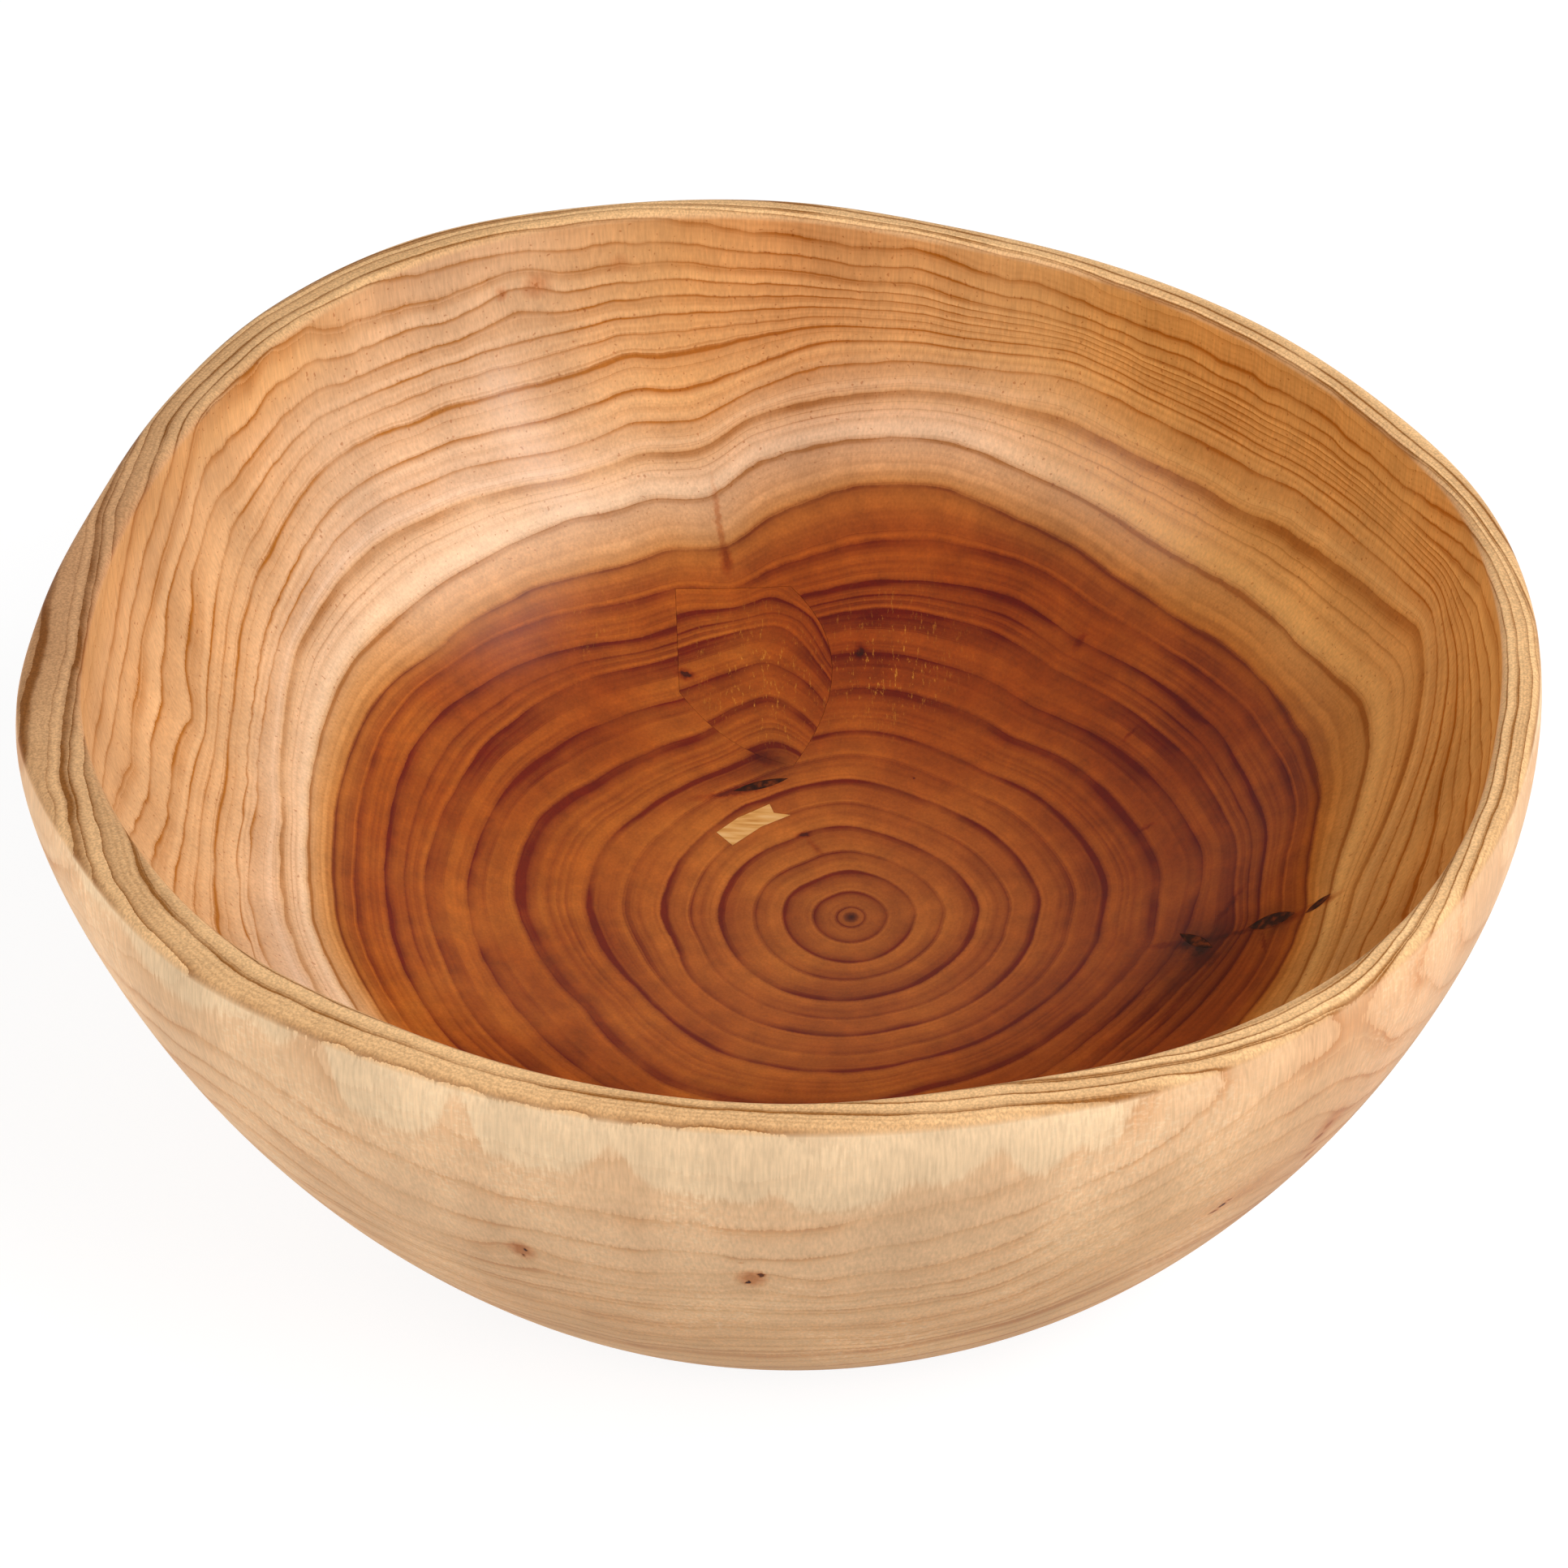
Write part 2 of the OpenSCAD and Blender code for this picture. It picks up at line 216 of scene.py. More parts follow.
def blank():
    """The uncut bowl: rows round the axis over the underside, the outer wall, the rim and the hollow."""
    angle = np.arange(COLUMNS)[None] * 360 / COLUMNS
    sole = np.array([FOOT_RIGHT - MIDDLE[0], -FOOT_FORWARD - MIDDLE[1], 0])
    wall = outer_face(angle, np.linspace(0, 1, OUTER_ROWS + 1)[:, None])
    underside = sole + (wall[0] - sole) * (np.arange(1, FOOT_ROWS) / FOOT_ROWS)[:, None, None]
    outer_edge, inner_edge = rim_edges(angle, np.linspace(0, 90, EDGE_ROWS + 1)[1:, None])
    across = np.linspace(0, 1, RIM_ROWS + 1)[1:-1, None, None]
    top = outer_edge[-1] + (inner_edge[-1] - outer_edge[-1]) * across
    hollow = inner_face(angle, np.linspace(1, 0, INNER_ROWS + 1)[:-1, None])
    rows = np.concatenate([underside, wall, outer_edge, top, inner_edge[::-1], hollow])
    return closed_mesh("bowl", rows, sole, inner_face(0, 0))


# Let-in repairs
def quadratic(start, pull, end, count):
    """Points of a curve from start to end, drawn to pull, without the end itself."""
    t = np.arange(count)[:, None] / count
    return np.array(start) * (1 - t) ** 2 + 2 * np.array(pull) * (1 - t) * t + np.array(end) * t ** 2


def shield(width, length):
    """Shield outline: square top left, bulged right side, and a toe low on the right with a hollow slant."""
    top_left, shoulder, bulge = (-0.5, 0.5), (0.26, 0.5), (0.78, 0.10)
    toe, hollow, low_left = (0.22, -0.5), (-0.21, -0.40), (-0.5, -0.06)
    shares = np.concatenate([
        [top_left], quadratic(shoulder, bulge, toe, BULGE_STEPS),
        quadratic(toe, hollow, low_left, SLANT_STEPS), [low_left]])
    return shares * [width, length]


def strip(length, width):
    """Outline of a ragged little strip with split ends."""
    shares = [
        (-0.11, 0.5), (0.38, 0.38), (0.34, -0.06), (0.5, -0.5), (0.06, -0.34), (-0.45, -0.5), (-0.5, 0.35)]
    return np.array(shares) * [length, width]


def lens(length, width):
    """Outline of a check's mouth: two shallow arcs that meet in points."""
    s = np.linspace(-1, 1, LENS_STEPS + 1)[:-1, None]
    bow = (1 - s ** 2) / 2
    upper = np.concatenate([s * length / 2, bow * width], 1)
    return np.concatenate([upper, -upper])


def evenly(outline, step):
    """The outline's corners with points about a step apart between them."""
    loop = np.concatenate([outline, outline[:1]])
    run = np.concatenate([[0], np.cumsum(np.hypot(*np.diff(loop, axis=0).T))])
    place = np.concatenate([np.arange(0, run[-1], step), run[:-1]])
    place = np.unique(place.round(3))
    return np.stack([np.interp(place, run, loop[:, 0]), np.interp(place, run, loop[:, 1])], -1)


def pace(angle, place):
    """Run along the hollow's profile per unit of its parameter."""
    rise = inner_face(angle, place + PROFILE_NUDGE) - inner_face(angle, place - PROFILE_NUDGE)
    return np.linalg.norm(rise) / (2 * PROFILE_NUDGE)


def place_along(angle, place, run):
    """The profile's parameter a run further up the wall, going by the pace halfway there."""
    return place + run / pace(angle, place + run / pace(angle, place) / 2)


def seated(flat, turn, angle, place):
    """Points of a seat's own plane, turned in it, as points of the bowl, and the way out of the seat."""
    around = inner_face(angle - TURN_NUDGE, place) - inner_face(angle + TURN_NUDGE, place)
    around = around / np.linalg.norm(around)
    rise = inner_face(angle, place + PROFILE_NUDGE) - inner_face(angle, place - PROFILE_NUDGE)
    out = np.cross(around, rise)
    out = out / np.linalg.norm(out)
    w = np.radians(turn)
    x = flat[..., :1] * np.cos(w) - flat[..., 1:] * np.sin(w)
    y = flat[..., :1] * np.sin(w) + flat[..., 1:] * np.cos(w)
    return inner_face(angle, place) + x * around + y * np.cross(out, around), out


def onto_hollow(points, out):
    """Points carried along the way out of their seat until they lie on the hollow, by halving."""
    low, high = np.full(points.shape[:-1], SEAT_LOW), np.full(points.shape[:-1], SEAT_HIGH)
    for _ in range(SEAT_HALVINGS):
        move = (low + high) / 2
        there = points + move[..., None] * out
        above = there[..., 2] > inner_height(there[..., 0], there[..., 1])
        low, high = np.where(above, low, move), np.where(above, move, high)
    return points + ((low + high) / 2)[..., None] * out


def let_in(name, outline, turn, angle, place, depth, step):
    """A repair flush with the hollow: rows from its top's middle to its edge, then over its flat bottom."""
    loop = evenly(outline, step)
    middle = loop.mean(0)
    count = int(np.ptp(loop, axis=0).max() / 2 / step) + 2
    share = (np.arange(1, count + 1) / count)[:, None, None]
    seat, out = seated(middle + (loop - middle) * share, turn, angle, place)
    centre, _ = seated(middle[None], turn, angle, place)
    top = onto_hollow(seat, out)
    bottom = seat[::-1] - out * depth
    rows = np.concatenate([top, bottom])
    return closed_mesh(name, rows, onto_hollow(centre, out)[0], centre[0] - out * depth)


def pocket(outline, turn, angle, place, depth):
    """The prism that cuts a repair's pocket: two rows, over the hollow and at the pocket's floor."""
    seat, out = seated(evenly(outline, CUT_OVER)[None], turn, angle, place)
    centre, _ = seated(outline.mean(0)[None], turn, angle, place)
    rows = np.concatenate([seat + out * CUT_OVER, seat - out * depth])
    return closed_mesh("pocket", rows, centre[0] + out * CUT_OVER, centre[0] - out * depth)


TOE_PLACE = place_along(TOE_ANGLE, WEDGE_PLACE, -WEDGE_L / 2 - TOE_GAP)
SLIVER_PLACE = place_along(SLIVER_ANGLE, TOE_PLACE, -SLIVER_BELOW_TOE)
INNER_PLACE = place_along(INNER_ANGLE, MIDDLE_PLACE, -(MIDDLE_L + INNER_L) / 2 - INNER_GAP)
OUTER_PLACE = place_along(OUTER_ANGLE, MIDDLE_PLACE, (MIDDLE_L + OUTER_L) / 2 + OUTER_GAP)
# Each repair's outline, its two sizes, its turn, angle and place on the hollow, its depth and its mesh step
REPAIRS = {
    "wedge_patch": (
        shield, WEDGE_W, WEDGE_L, 0, WEDGE_ANGLE, WEDGE_PLACE, WEDGE_DEPTH, WEDGE_STEP),
    "sliver_patch": (
        strip, SLIVER_L, SLIVER_W, SLIVER_TURN, SLIVER_ANGLE, SLIVER_PLACE, SLIVER_DEPTH, SLIVER_STEP),
    "toe_filler": (
        lens, TOE_L, TOE_W, TOE_TURN, TOE_ANGLE, TOE_PLACE, FILL_DEPTH, FILL_STEP),
    "inner_check_filler": (
        lens, INNER_L, INNER_W, INNER_TURN, INNER_ANGLE, INNER_PLACE, FILL_DEPTH, FILL_STEP),
    "middle_check_filler": (
        lens, MIDDLE_L, MIDDLE_W, MIDDLE_TURN, MIDDLE_ANGLE, MIDDLE_PLACE, FILL_DEPTH, FILL_STEP),
    "outer_check_filler": (
        lens, OUTER_L, OUTER_W, OUTER_TURN, OUTER_ANGLE, OUTER_PLACE, FILL_DEPTH, FILL_STEP),
}


def cut_pockets(bowl):
    """Takes the pockets of all the repairs out of the bowl, and leaves it a plain mesh."""
    for outline, a, b, turn, angle, place, depth, _ in REPAIRS.values():
        cutter = pocket(outline(a, b), turn, angle, place, depth)
        cut = bowl.modifiers.new("pocket", "BOOLEAN")
        cut.operation, cut.solver, cut.object = "DIFFERENCE", "EXACT", cutter
    graph = bpy.context.evaluated_depsgraph_get()
    whole = bowl.data
    bowl.data = bpy.data.meshes.new_from_object(bowl.evaluated_get(graph))
    bowl.data.name = "bowl"
    for cut in list(bowl.modifiers):
        bpy.data.objects.remove(cut.object)
    bowl.modifiers.clear()
    bpy.data.meshes.remove(whole)


# The trunk's rings, about its pith, in mm
PITH = np.array([16.0, 23.2])
HEART_MEAN, TRUNK_MEAN, RING_END = 117.0, 157.0, 180.0
# Where the heartwood ends, every 15 degrees from +X round the pith
HEART_REACH = np.array([
    117, 114, 111, 109, 109, 109.5, 110.5, 107.5, 110.5, 122, 128.5, 128.5,
    127, 124, 122, 120, 120, 121, 122, 122, 120, 117, 115, 113.0])
# How chosen rings wander: the turns round the pith, in degrees, that their paths are given at
PATH_TURNS = [
    -75, -45, -30, -18, -8, 6, 20, 38, 52, 64, 78, 92, 101, 107, 114, 124, 135, 148, 162, 180, 194,
    210, 235]
# Each chosen ring by its mean radius, and its places at those turns in even ring steps
RING_PATHS = {
    15: [15, 15.2, 15.4, 15.5, 15.3, 15.2, 15.2, 15.3, 15.5, 15.6, 15.9, 16.3, 16.6, 16.8, 16.4, 15.7, 15,
        15, 14.9, 14.8, 14.8, 14.9, 15],
    30: [27.5, 29, 30.2, 31.2, 30.5, 29.8, 29.2, 28.7, 28.5, 28.7, 29.6, 31.2, 32.3, 32.5, 31.8, 30.6,
        29.2, 28.4, 28.5, 29, 29, 29, 29.3],
    44: [40, 43.5, 45, 46, 45, 43.9, 43.5, 43.2, 42.6, 42.8, 44.4, 46.2, 47.2, 47.6, 47, 45.8, 42, 40.3,
        40.5, 41.3, 39.8, 41.5, 41.8],
    58: [52.5, 57, 60, 62.3, 60.8, 59.2, 58.5, 58, 56.5, 57.5, 59.8, 60.5, 61, 61, 60, 57.5, 55, 54.2,
        56.5, 57.5, 56, 53.5, 55.2],
    70: [64, 68.5, 72, 76.5, 73.5, 71.3, 70, 69.7, 68, 70, 71.9, 72.5, 73, 74.5, 73.5, 69.5, 67, 67, 72,
        73.3, 71.5, 68.3, 73.5],
    80: [75, 76, 79, 83.5, 83.5, 80.7, 80, 78.3, 77, 79.3, 81, 81.5, 82, 83.5, 82.5, 80.3, 78, 78.5, 81,
        83.3, 84.5, 83, 84],
    89: [84, 84, 88, 96, 91, 88.2, 88.5, 87.5, 87.5, 90.5, 92.5, 92, 92.5, 93.5, 93.5, 91.5, 89.5, 88.5,
        89.5, 92.5, 93, 94, 93],
    97: [93, 93, 97, 101, 97.5, 95.3, 96.5, 95.8, 95.2, 98.8, 98.8, 97.7, 99, 99, 100.5, 98, 97.5, 98,
        101, 100.8, 103, 103.5, 101],
    104: [101, 101, 105, 106, 102.5, 103, 103.2, 102, 103, 106, 107, 106.3, 107, 105, 109, 107.5, 105,
        104.4, 107, 106.9, 110.3, 110.5, 108],
    110: [107, 108, 111, 112, 108.2, 107.3, 108.9, 108, 109.5, 112.5, 116.4, 117.4, 117.5, 114.5, 117.7,
        115.3, 110.6, 107.7, 110.9, 111.5, 114.4, 114.5, 112],
    118: [117, 118, 118.3, 117.2, 117.2, 121.8, 117.4, 117, 118, 122, 126.5, 126.7, 127.5, 124, 126.2,
        124.5, 119.8, 116.6, 117.5, 116.8, 119.1, 118.9, 118],
    130: [125, 124, 123, 122.7, 128.8, 138, 134.7, 132.6, 132.1, 134.2, 134.6, 133.8, 134, 131, 132.4,
        130, 128.6, 127.5, 126.5, 121.4, 122.9, 123, 124],
    135: [131, 128, 125.5, 127.2, 133.4, 141.4, 139.6, 138.6, 138.8, 140.3, 138.6, 138.3, 137.4, 135,
        136.6, 133.8, 132.8, 131.9, 130, 126.5, 128.5, 129, 130],
    140.5: [135, 132, 129, 131.5, 137, 143, 142, 140.4, 140.8, 142.5, 141, 141, 140, 139, 140.2, 137.4,
        135.9, 135, 132.3, 127.8, 129.4, 130, 132],
    148.5: [148, 147, 146, 145, 145, 145.2, 144.4, 143.4, 143.6, 144.6, 144.4, 145.6, 146.8, 147.3, 147.6,
        145.8, 144, 143.5, 142, 137, 139.5, 142, 146],
}
# How the rings close in above a height, as the trunk tapers there: turn round the pith and slope
TAPER_FROM = 98.0
TAPER = [
    (-45, 0.05), (-18, 0.1), (0, 0.25), (20, 0.33), (60, 0.33), (95, 0.25), (110, 0.16), (130, 0.13),
    (160, 0.12), (200, 0.12), (240, 0.05),
]
# Each ring's radius out to its late wood, with how strong its dark side, its line and its fineness are
RINGS = [
    (3.4, 0.3, 0.5, 0.6), (8.3, 0.8, 0.2, 0.3), (15, 0.95, 0.2, 0.28), (21.5, 0.6, 0.15, 0.3),
    (30, 0.9, 0.2, 0.28), (37, 0.6, 0.15, 0.3), (44, 0.85, 0.2, 0.28), (51, 0.45, 0.15, 0.3),
    (58, 0.85, 0.25, 0.24), (70, 0.75, 0.2, 0.3), (80, 0.75, 0.25, 0.25), (89, 0.75, 0.25, 0.25),
    (93, 0.45, 0.2, 0.25), (97, 0.8, 0.25, 0.22), (104, 0.4, 0.3, 0.4), (110, 0.5, 0.3, 0.3),
    (118, 0.35, 0.6, 0.9), (130, 0.35, 0.3, 0.7), (135, 0.3, 0.4, 0.6), (140.5, 0.35, 0.4, 0.5),
    (144, 0.4, 0.35, 0.5), (146, 0.3, 0.3, 0.5), (148, 0.4, 0.35, 0.45), (150, 0.4, 0.35, 0.4),
    (151.6, 0.5, 0.35, 0.35), (153.2, 0.35, 0.3, 0.35), (154.8, 0.45, 0.35, 0.35),
    (156.4, 0.35, 0.3, 0.35), (160.2, 0.4, 0.3, 0.35), (162.6, 0.4, 0.3, 0.35),
]
# Places that push the rings out or in: x, y, z, reach and push
SWELLS = [
    (-135, 30, 76, 8, 1.0),
    (-53, -150, 78, 7, -0.8),
    (-6, -161, 81, 7, -0.8),
    (-64, 151, 114, 9, -1.0),
    (82, -138, 92, 46, -3.5),
    (-113, -115, 92, 34, -2.5),
    (-78, -138, 76, 18, 1.2),
    (40, -150, 68, 26, 1.2),
    (105, -118, 130, 40, -5),
    (-155, -20, 128, 50, 3),
    (-128, 78, 130, 36, -1.5),
    (150, 10, 130, 30, -2),
]
# The let-in wedge comes from elsewhere in the trunk: its rings are shifted, and bend away right of a ridge
WEDGE_RIDGE, WEDGE_BEND, WEDGE_SHIFT = -6.0, 0.058, -2.0
# Places where the colour is deeper: x, y, reach, share and the ring where it ends. Those ending at ring 112
# are the heartwood's own deeper colour, those running to ring 200 are painted shade on the sapwood of the
# right and back walls
DEEP_TONE_AND_SHADE_PLACES = [
    (95, 55, 45, 0.55, 112), (30, 100, 42, 0.75, 112), (85, -35, 50, 0.7, 112), (-70, 75, 26, 0.3, 112),
    (-92, 20, 18, 0.3, 112), (-30, -45, 60, 0.32, 112), (-46, 88, 24, 0.35, 112), (138, 34, 34, 0.2, 200),
    (105, 108, 40, 0.15, 200), (128, -62, 40, 0.15, 200), (116, -112, 40, 0.5, 200),
    (5, 170, 36, 0.3, 200),
]
# Painted shade that darkens and greys the rim's left side: x, y, z, reach and share
RIM_SHADE = -160, 10, 130, 85, 1.0
# Lower edge of the pale outermost ring that is left on the outer wall: turn round the axis and height
PATCH_EDGE = [
    (190, 131), (205, 131), (213, 124), (218, 127), (222, 121), (226, 120), (229, 124), (232, 126),
    (234.5, 122), (236, 130), (238, 130), (239, 113), (244, 112), (246.5, 116), (247.5, 128),
    (248.8, 128), (249.3, 113), (254, 112), (256.5, 113), (257.5, 118), (259, 124), (261, 112),
    (266, 110), (269, 109), (269.6, 120), (270.2, 108), (274, 107), (277, 110), (278, 115), (281, 113),
    (284, 120), (284.8, 126), (285.3, 114), (287, 112), (288.8, 115), (289.2, 124), (289.8, 117),
    (292.3, 116), (293, 126), (296, 131), (330, 131), (350, 124), (20, 118), (24, 127), (45, 114),
    (52, 126), (70, 117), (78, 129), (100, 119), (112, 126), (130, 115), (140, 128), (160, 118),
    (170, 130),
]
# Dark resin in the wood round the filled checks and the wedge's toe: x, y, z, reach and share
STAINS = [
    (95, -8, 39, 8, 0.8), (112, -10.5, 48, 6, 0.6), (-3, 72, 29, 6, 0.6), (90, -20, 38, 14, 0.4),
]
# Short pale scratches where the sanding tore the fibres: x, y, z, reach and share
SCRATCHES = [
    (-8, 97, 40, 13, 1.0), (-4, 84, 34, 9, 0.8), (28, 100, 42, 14, 0.9), (26, 90, 38, 12, 0.5),
    (-50, 104, 48, 11, 0.5),
]

# Where the outer wall begins: mm below the hollow, share of the trunk's reach, how far a face looks out
OUTER_BELOW, OUTER_REACH_SHARES, OUTER_FACING = (9, 13), (0.93, 0.96), (-0.1, 0.3)
# Where the rim's top begins and is full, in mm below the rim
RIM_BEGINS, RIM_FULL = 2.6, 0.6
# Where the sapwood is darker and more orange: painted shade with the orange of bounce light on the right,
# painted shade at the back, and its own warmer tone on the left; x, rings or heights in mm between which it
# comes in, and shares
BOUNCE_SHADE_RIGHT_X, BOUNCE_SHADE_RIGHT_RINGS = (40, 100), (104, 110)
SHADE_BACK_X, SHADE_BACK_RINGS, SHADE_BACK_SHARE = (-80, -20), (120, 140), 0.68
WARM_EDGE_X, WARM_EDGE_IN, WARM_EDGE_OUT, WARM_EDGE_SHARE = (-80, -105), (106, 111), (121, 115), 0.6
WARM_WALL_X, WARM_WALL_RINGS, WARM_WALL_SHARE = (-104, -134), (111, 120), 0.36
WARM_TOP_X, WARM_TOP_HEIGHTS, WARM_TOP_SHARE = (-85, -125), (98, 124), 0.6
# How many mm of ring a deeper place takes to end, and how many mm of height are 1 in the patch field
DEEP_END, PATCH_UNIT = 7, 10
# Over how many half degrees the ring paths and the patches' edge are eased
PATH_EASE, PATCH_EASE = 11, 5
# Step in degrees at which outlines and paths are read round the trunk
READ_STEP = 0.5
# The fields that each vertex of the wood keeps for its looks
FIELDS = "ring_shift", "rim", "patch", "outside", "warm", "deep", "scratch", "stain"


def soft_step(low, high, value):
    """0 short of low and 1 past high, eased between them, also where high is the lesser."""
    t = np.clip((value - low) / (high - low), 0, 1)
    return t * t * (3 - 2 * t)


def trunk_reach(turn):
    """Distance from the pith to the trunk's outline, read off the rim's outer edge."""
    angle = np.arange(0, 360, READ_STEP)
    edge = at_turn(angle, rim_outer(angle), 0)[:, :2] - PITH
    return np.interp(turn, np.degrees(np.arctan2(edge[:, 1], edge[:, 0])), np.hypot(*edge.T), period=360)


def near(points, x, y, z, reach):
    """1 at a place, falling off round it like a bell of that reach."""
    return np.exp(-np.sum((points - [x, y, z]) ** 2, -1) / reach ** 2)


def bells(points, places):
    """Bells round chosen places, each as high as its share, added up to 1 at most."""
    return np.clip(sum(share * near(points, x, y, z, reach) for x, y, z, reach, share in places), 0, 1)


def eased(turn, turns, values, spread):
    """A value at a turn: straight between the turns it is given at, eased over that many half degrees."""
    fine = np.arange(0, 360, READ_STEP)
    line = np.interp(fine, np.array(turns) % 360, values, period=360)
    ease = np.hanning(spread + 2)[1:-1]
    side = spread // 2
    line = np.convolve(np.concatenate([line[-side:], line, line[:side]]), ease / ease.sum(), "valid")
    return np.interp(turn, fine, line, period=360)


def ring_places(turn):
    """Where each chosen ring lies at a turn, as rows."""
    return np.stack([eased(turn, PATH_TURNS, path, PATH_EASE) for path in RING_PATHS.values()])


def mean_radius(points):
    """The ring at a place, by its mean radius: even steps of heart and sapwood, bent to the chosen paths.
    With it come the plain radius from the pith, and that radius as a share of the trunk's reach."""
    from_pith = points[:, :2] - PITH
    turn = np.degrees(np.arctan2(from_pith[:, 1], from_pith[:, 0])) % 360
    radius = np.hypot(*from_pith.T)
    heart, trunk = loop_share(HEART_REACH, turn), trunk_reach(turn)
    even = HEART_MEAN * np.minimum(radius / heart, 1)
    even += (TRUNK_MEAN - HEART_MEAN) * np.maximum((radius - heart) / (trunk - heart), 0)
    rings = np.array([0, *RING_PATHS, TRUNK_MEAN, RING_END])[:, None]
    ends = np.ones(len(turn))
    places = np.concatenate([[0 * ends], ring_places(turn), [TRUNK_MEAN * ends, RING_END * ends]])
    share = np.clip((even - places[:-1]) / np.diff(places, axis=0), 0, 1)
    ring = np.sum(share * np.diff(rings, axis=0), 0)
    taper = np.interp(turn, *np.array(TAPER).T, period=360)
    ring += taper * np.maximum(points[:, 2] - TAPER_FROM, 0)
    for x, y, z, reach, push in SWELLS:
        ring += push * near(points, x, y, z, reach)
    return ring, radius, radius / trunk


def rim_share(points):
    """How far a place belongs to the rim's top, by its height."""
    return soft_step(BOWL_H - RIM_BEGINS, BOWL_H - RIM_FULL, points[:, 2])


def outer_share(points, normals):
    """How far a place with its normal is the outer wall: facing away from the axis, well below the hollow."""
    reach_share = mean_radius(points)[2]
    plan = np.hypot(points[:, 0], points[:, 1])
    outward = np.sum(normals[:, :2] * points[:, :2], -1) / np.maximum(plan, 1)
    below = inner_height(points[:, 0], points[:, 1]) - points[:, 2]
    deep = np.maximum(soft_step(*OUTER_BELOW, below), soft_step(*OUTER_REACH_SHARES, reach_share))
    return soft_step(*OUTER_FACING, outward) * deep * (1 - rim_share(points))


def warm_tone_and_shade_share(points, ring):
    """How much the sapwood is darkened and made more orange: all of it on the right, as painted shade with
    the orange of bounce light, its outer half at the back, as painted shade, and on the left, as its own
    warmer tone, the greatest of its inner edge, the wall and the wall's top."""
    x, z = points[:, 0], points[:, 2]
    right = soft_step(*BOUNCE_SHADE_RIGHT_X, x)
    back = (1 - right) * soft_step(*SHADE_BACK_X, x)
    edge = soft_step(*WARM_EDGE_X, x) * soft_step(*WARM_EDGE_IN, ring) * soft_step(*WARM_EDGE_OUT, ring)
    wall = soft_step(*WARM_WALL_X, x) * soft_step(*WARM_WALL_RINGS, ring)
    top = soft_step(*WARM_TOP_X, x) * soft_step(*WARM_TOP_HEIGHTS, z)
    left = np.maximum(WARM_EDGE_SHARE * edge, np.maximum(WARM_WALL_SHARE * wall, WARM_TOP_SHARE * top))
    warm = right * soft_step(*BOUNCE_SHADE_RIGHT_RINGS, ring)
    warm += SHADE_BACK_SHARE * back * soft_step(*SHADE_BACK_RINGS, ring)
    return warm + (1 - back) * (1 - right) * left


def depth_of_tone_and_shade(points, ring):
    """How much deeper the colour is, as the heart's own deeper tone and as painted shade on the sapwood
    walls: bells round the chosen places, each up to the ring where it ends.
    """
    deep = 0
    for x, y, reach, share, last in DEEP_TONE_AND_SHADE_PLACES:
        bell = np.exp(-np.sum((points[:, :2] - [x, y]) ** 2, -1) / reach ** 2)
        deep = deep + share * bell * soft_step(last, last - DEEP_END, ring)
    return np.clip(deep, 0, 1)


def give_grain(piece, wedge=False):
    """Keeps on each vertex what the wood's rings and tones need there, worked out from its place."""
    mesh = piece.data
    count = len(mesh.vertices)
    points, normals = np.empty(count * 3, np.float32), np.empty(count * 3, np.float32)
    mesh.vertices.foreach_get("co", points)
    mesh.vertex_normals.foreach_get("vector", normals)
    points = points.reshape(-1, 3).astype(float) / MM
    normals = normals.reshape(-1, 3)
    ring, radius, _ = mean_radius(points)
    if wedge:
        ring += WEDGE_SHIFT + WEDGE_BEND * np.maximum(points[:, 0] - WEDGE_RIDGE, 0) ** 2
    rim = rim_share(points)
    outside = outer_share(points, normals)
    turn = np.degrees(np.arctan2(points[:, 1] + MIDDLE[1], points[:, 0] + MIDDLE[0]))
    patch_edge = eased(turn, *np.array(PATCH_EDGE).T, PATCH_EASE)
    *rim_shade_at, rim_shade_share = RIM_SHADE
    fields = {
        "ring_shift": ring - radius,
        "rim": rim,
        "patch": (points[:, 2] - patch_edge) / PATCH_UNIT,
        "outside": outside,
        # Painted shade and bounce light on the right and back walls, the wood's own warmer tone on the left
        "warm": warm_tone_and_shade_share(points, ring) * (1 - rim) * (1 - outside),
        # deep: the heart's own deeper tone and painted shade on the sapwood walls, and on the rim only the
        # painted shade on its left
        "deep": (1 - rim) * depth_of_tone_and_shade(points, ring) + rim * rim_shade_share * near(points, *rim_shade_at),
        "scratch": bells(points, SCRATCHES),
        "stain": bells(points, STAINS),
    }
    for name in FIELDS:
        values = fields[name].astype(np.float32)
        mesh.attributes.new(name, "FLOAT", "POINT").data.foreach_set("value", values)


def split_faces(piece):
    """Gives the faces of the rim and the outer wall the piece's second material."""
    faces = piece.data.polygons
    centres, normals = np.empty(len(faces) * 3, np.float32), np.empty(len(faces) * 3, np.float32)
    faces.foreach_get("center", centres)
    faces.foreach_get("normal", normals)
    centres = centres.reshape(-1, 3).astype(float) / MM
    outer = np.maximum(outer_share(centres, normals.reshape(-1, 3)), rim_share(centres)) > 0.5
    faces.foreach_set("material_index", outer.astype(np.int32))


# Materials
def paint(code):
    """An sRGB hex colour as the linear colour that a socket takes."""
    value = np.array([int(code[k:k + 2], 16) for k in (1, 3, 5)]) / 255
    linear = np.where(value <= 0.04045, value / 12.92, ((value + 0.055) / 1.055) ** 2.4)
    return (*linear.tolist(), 1.0)


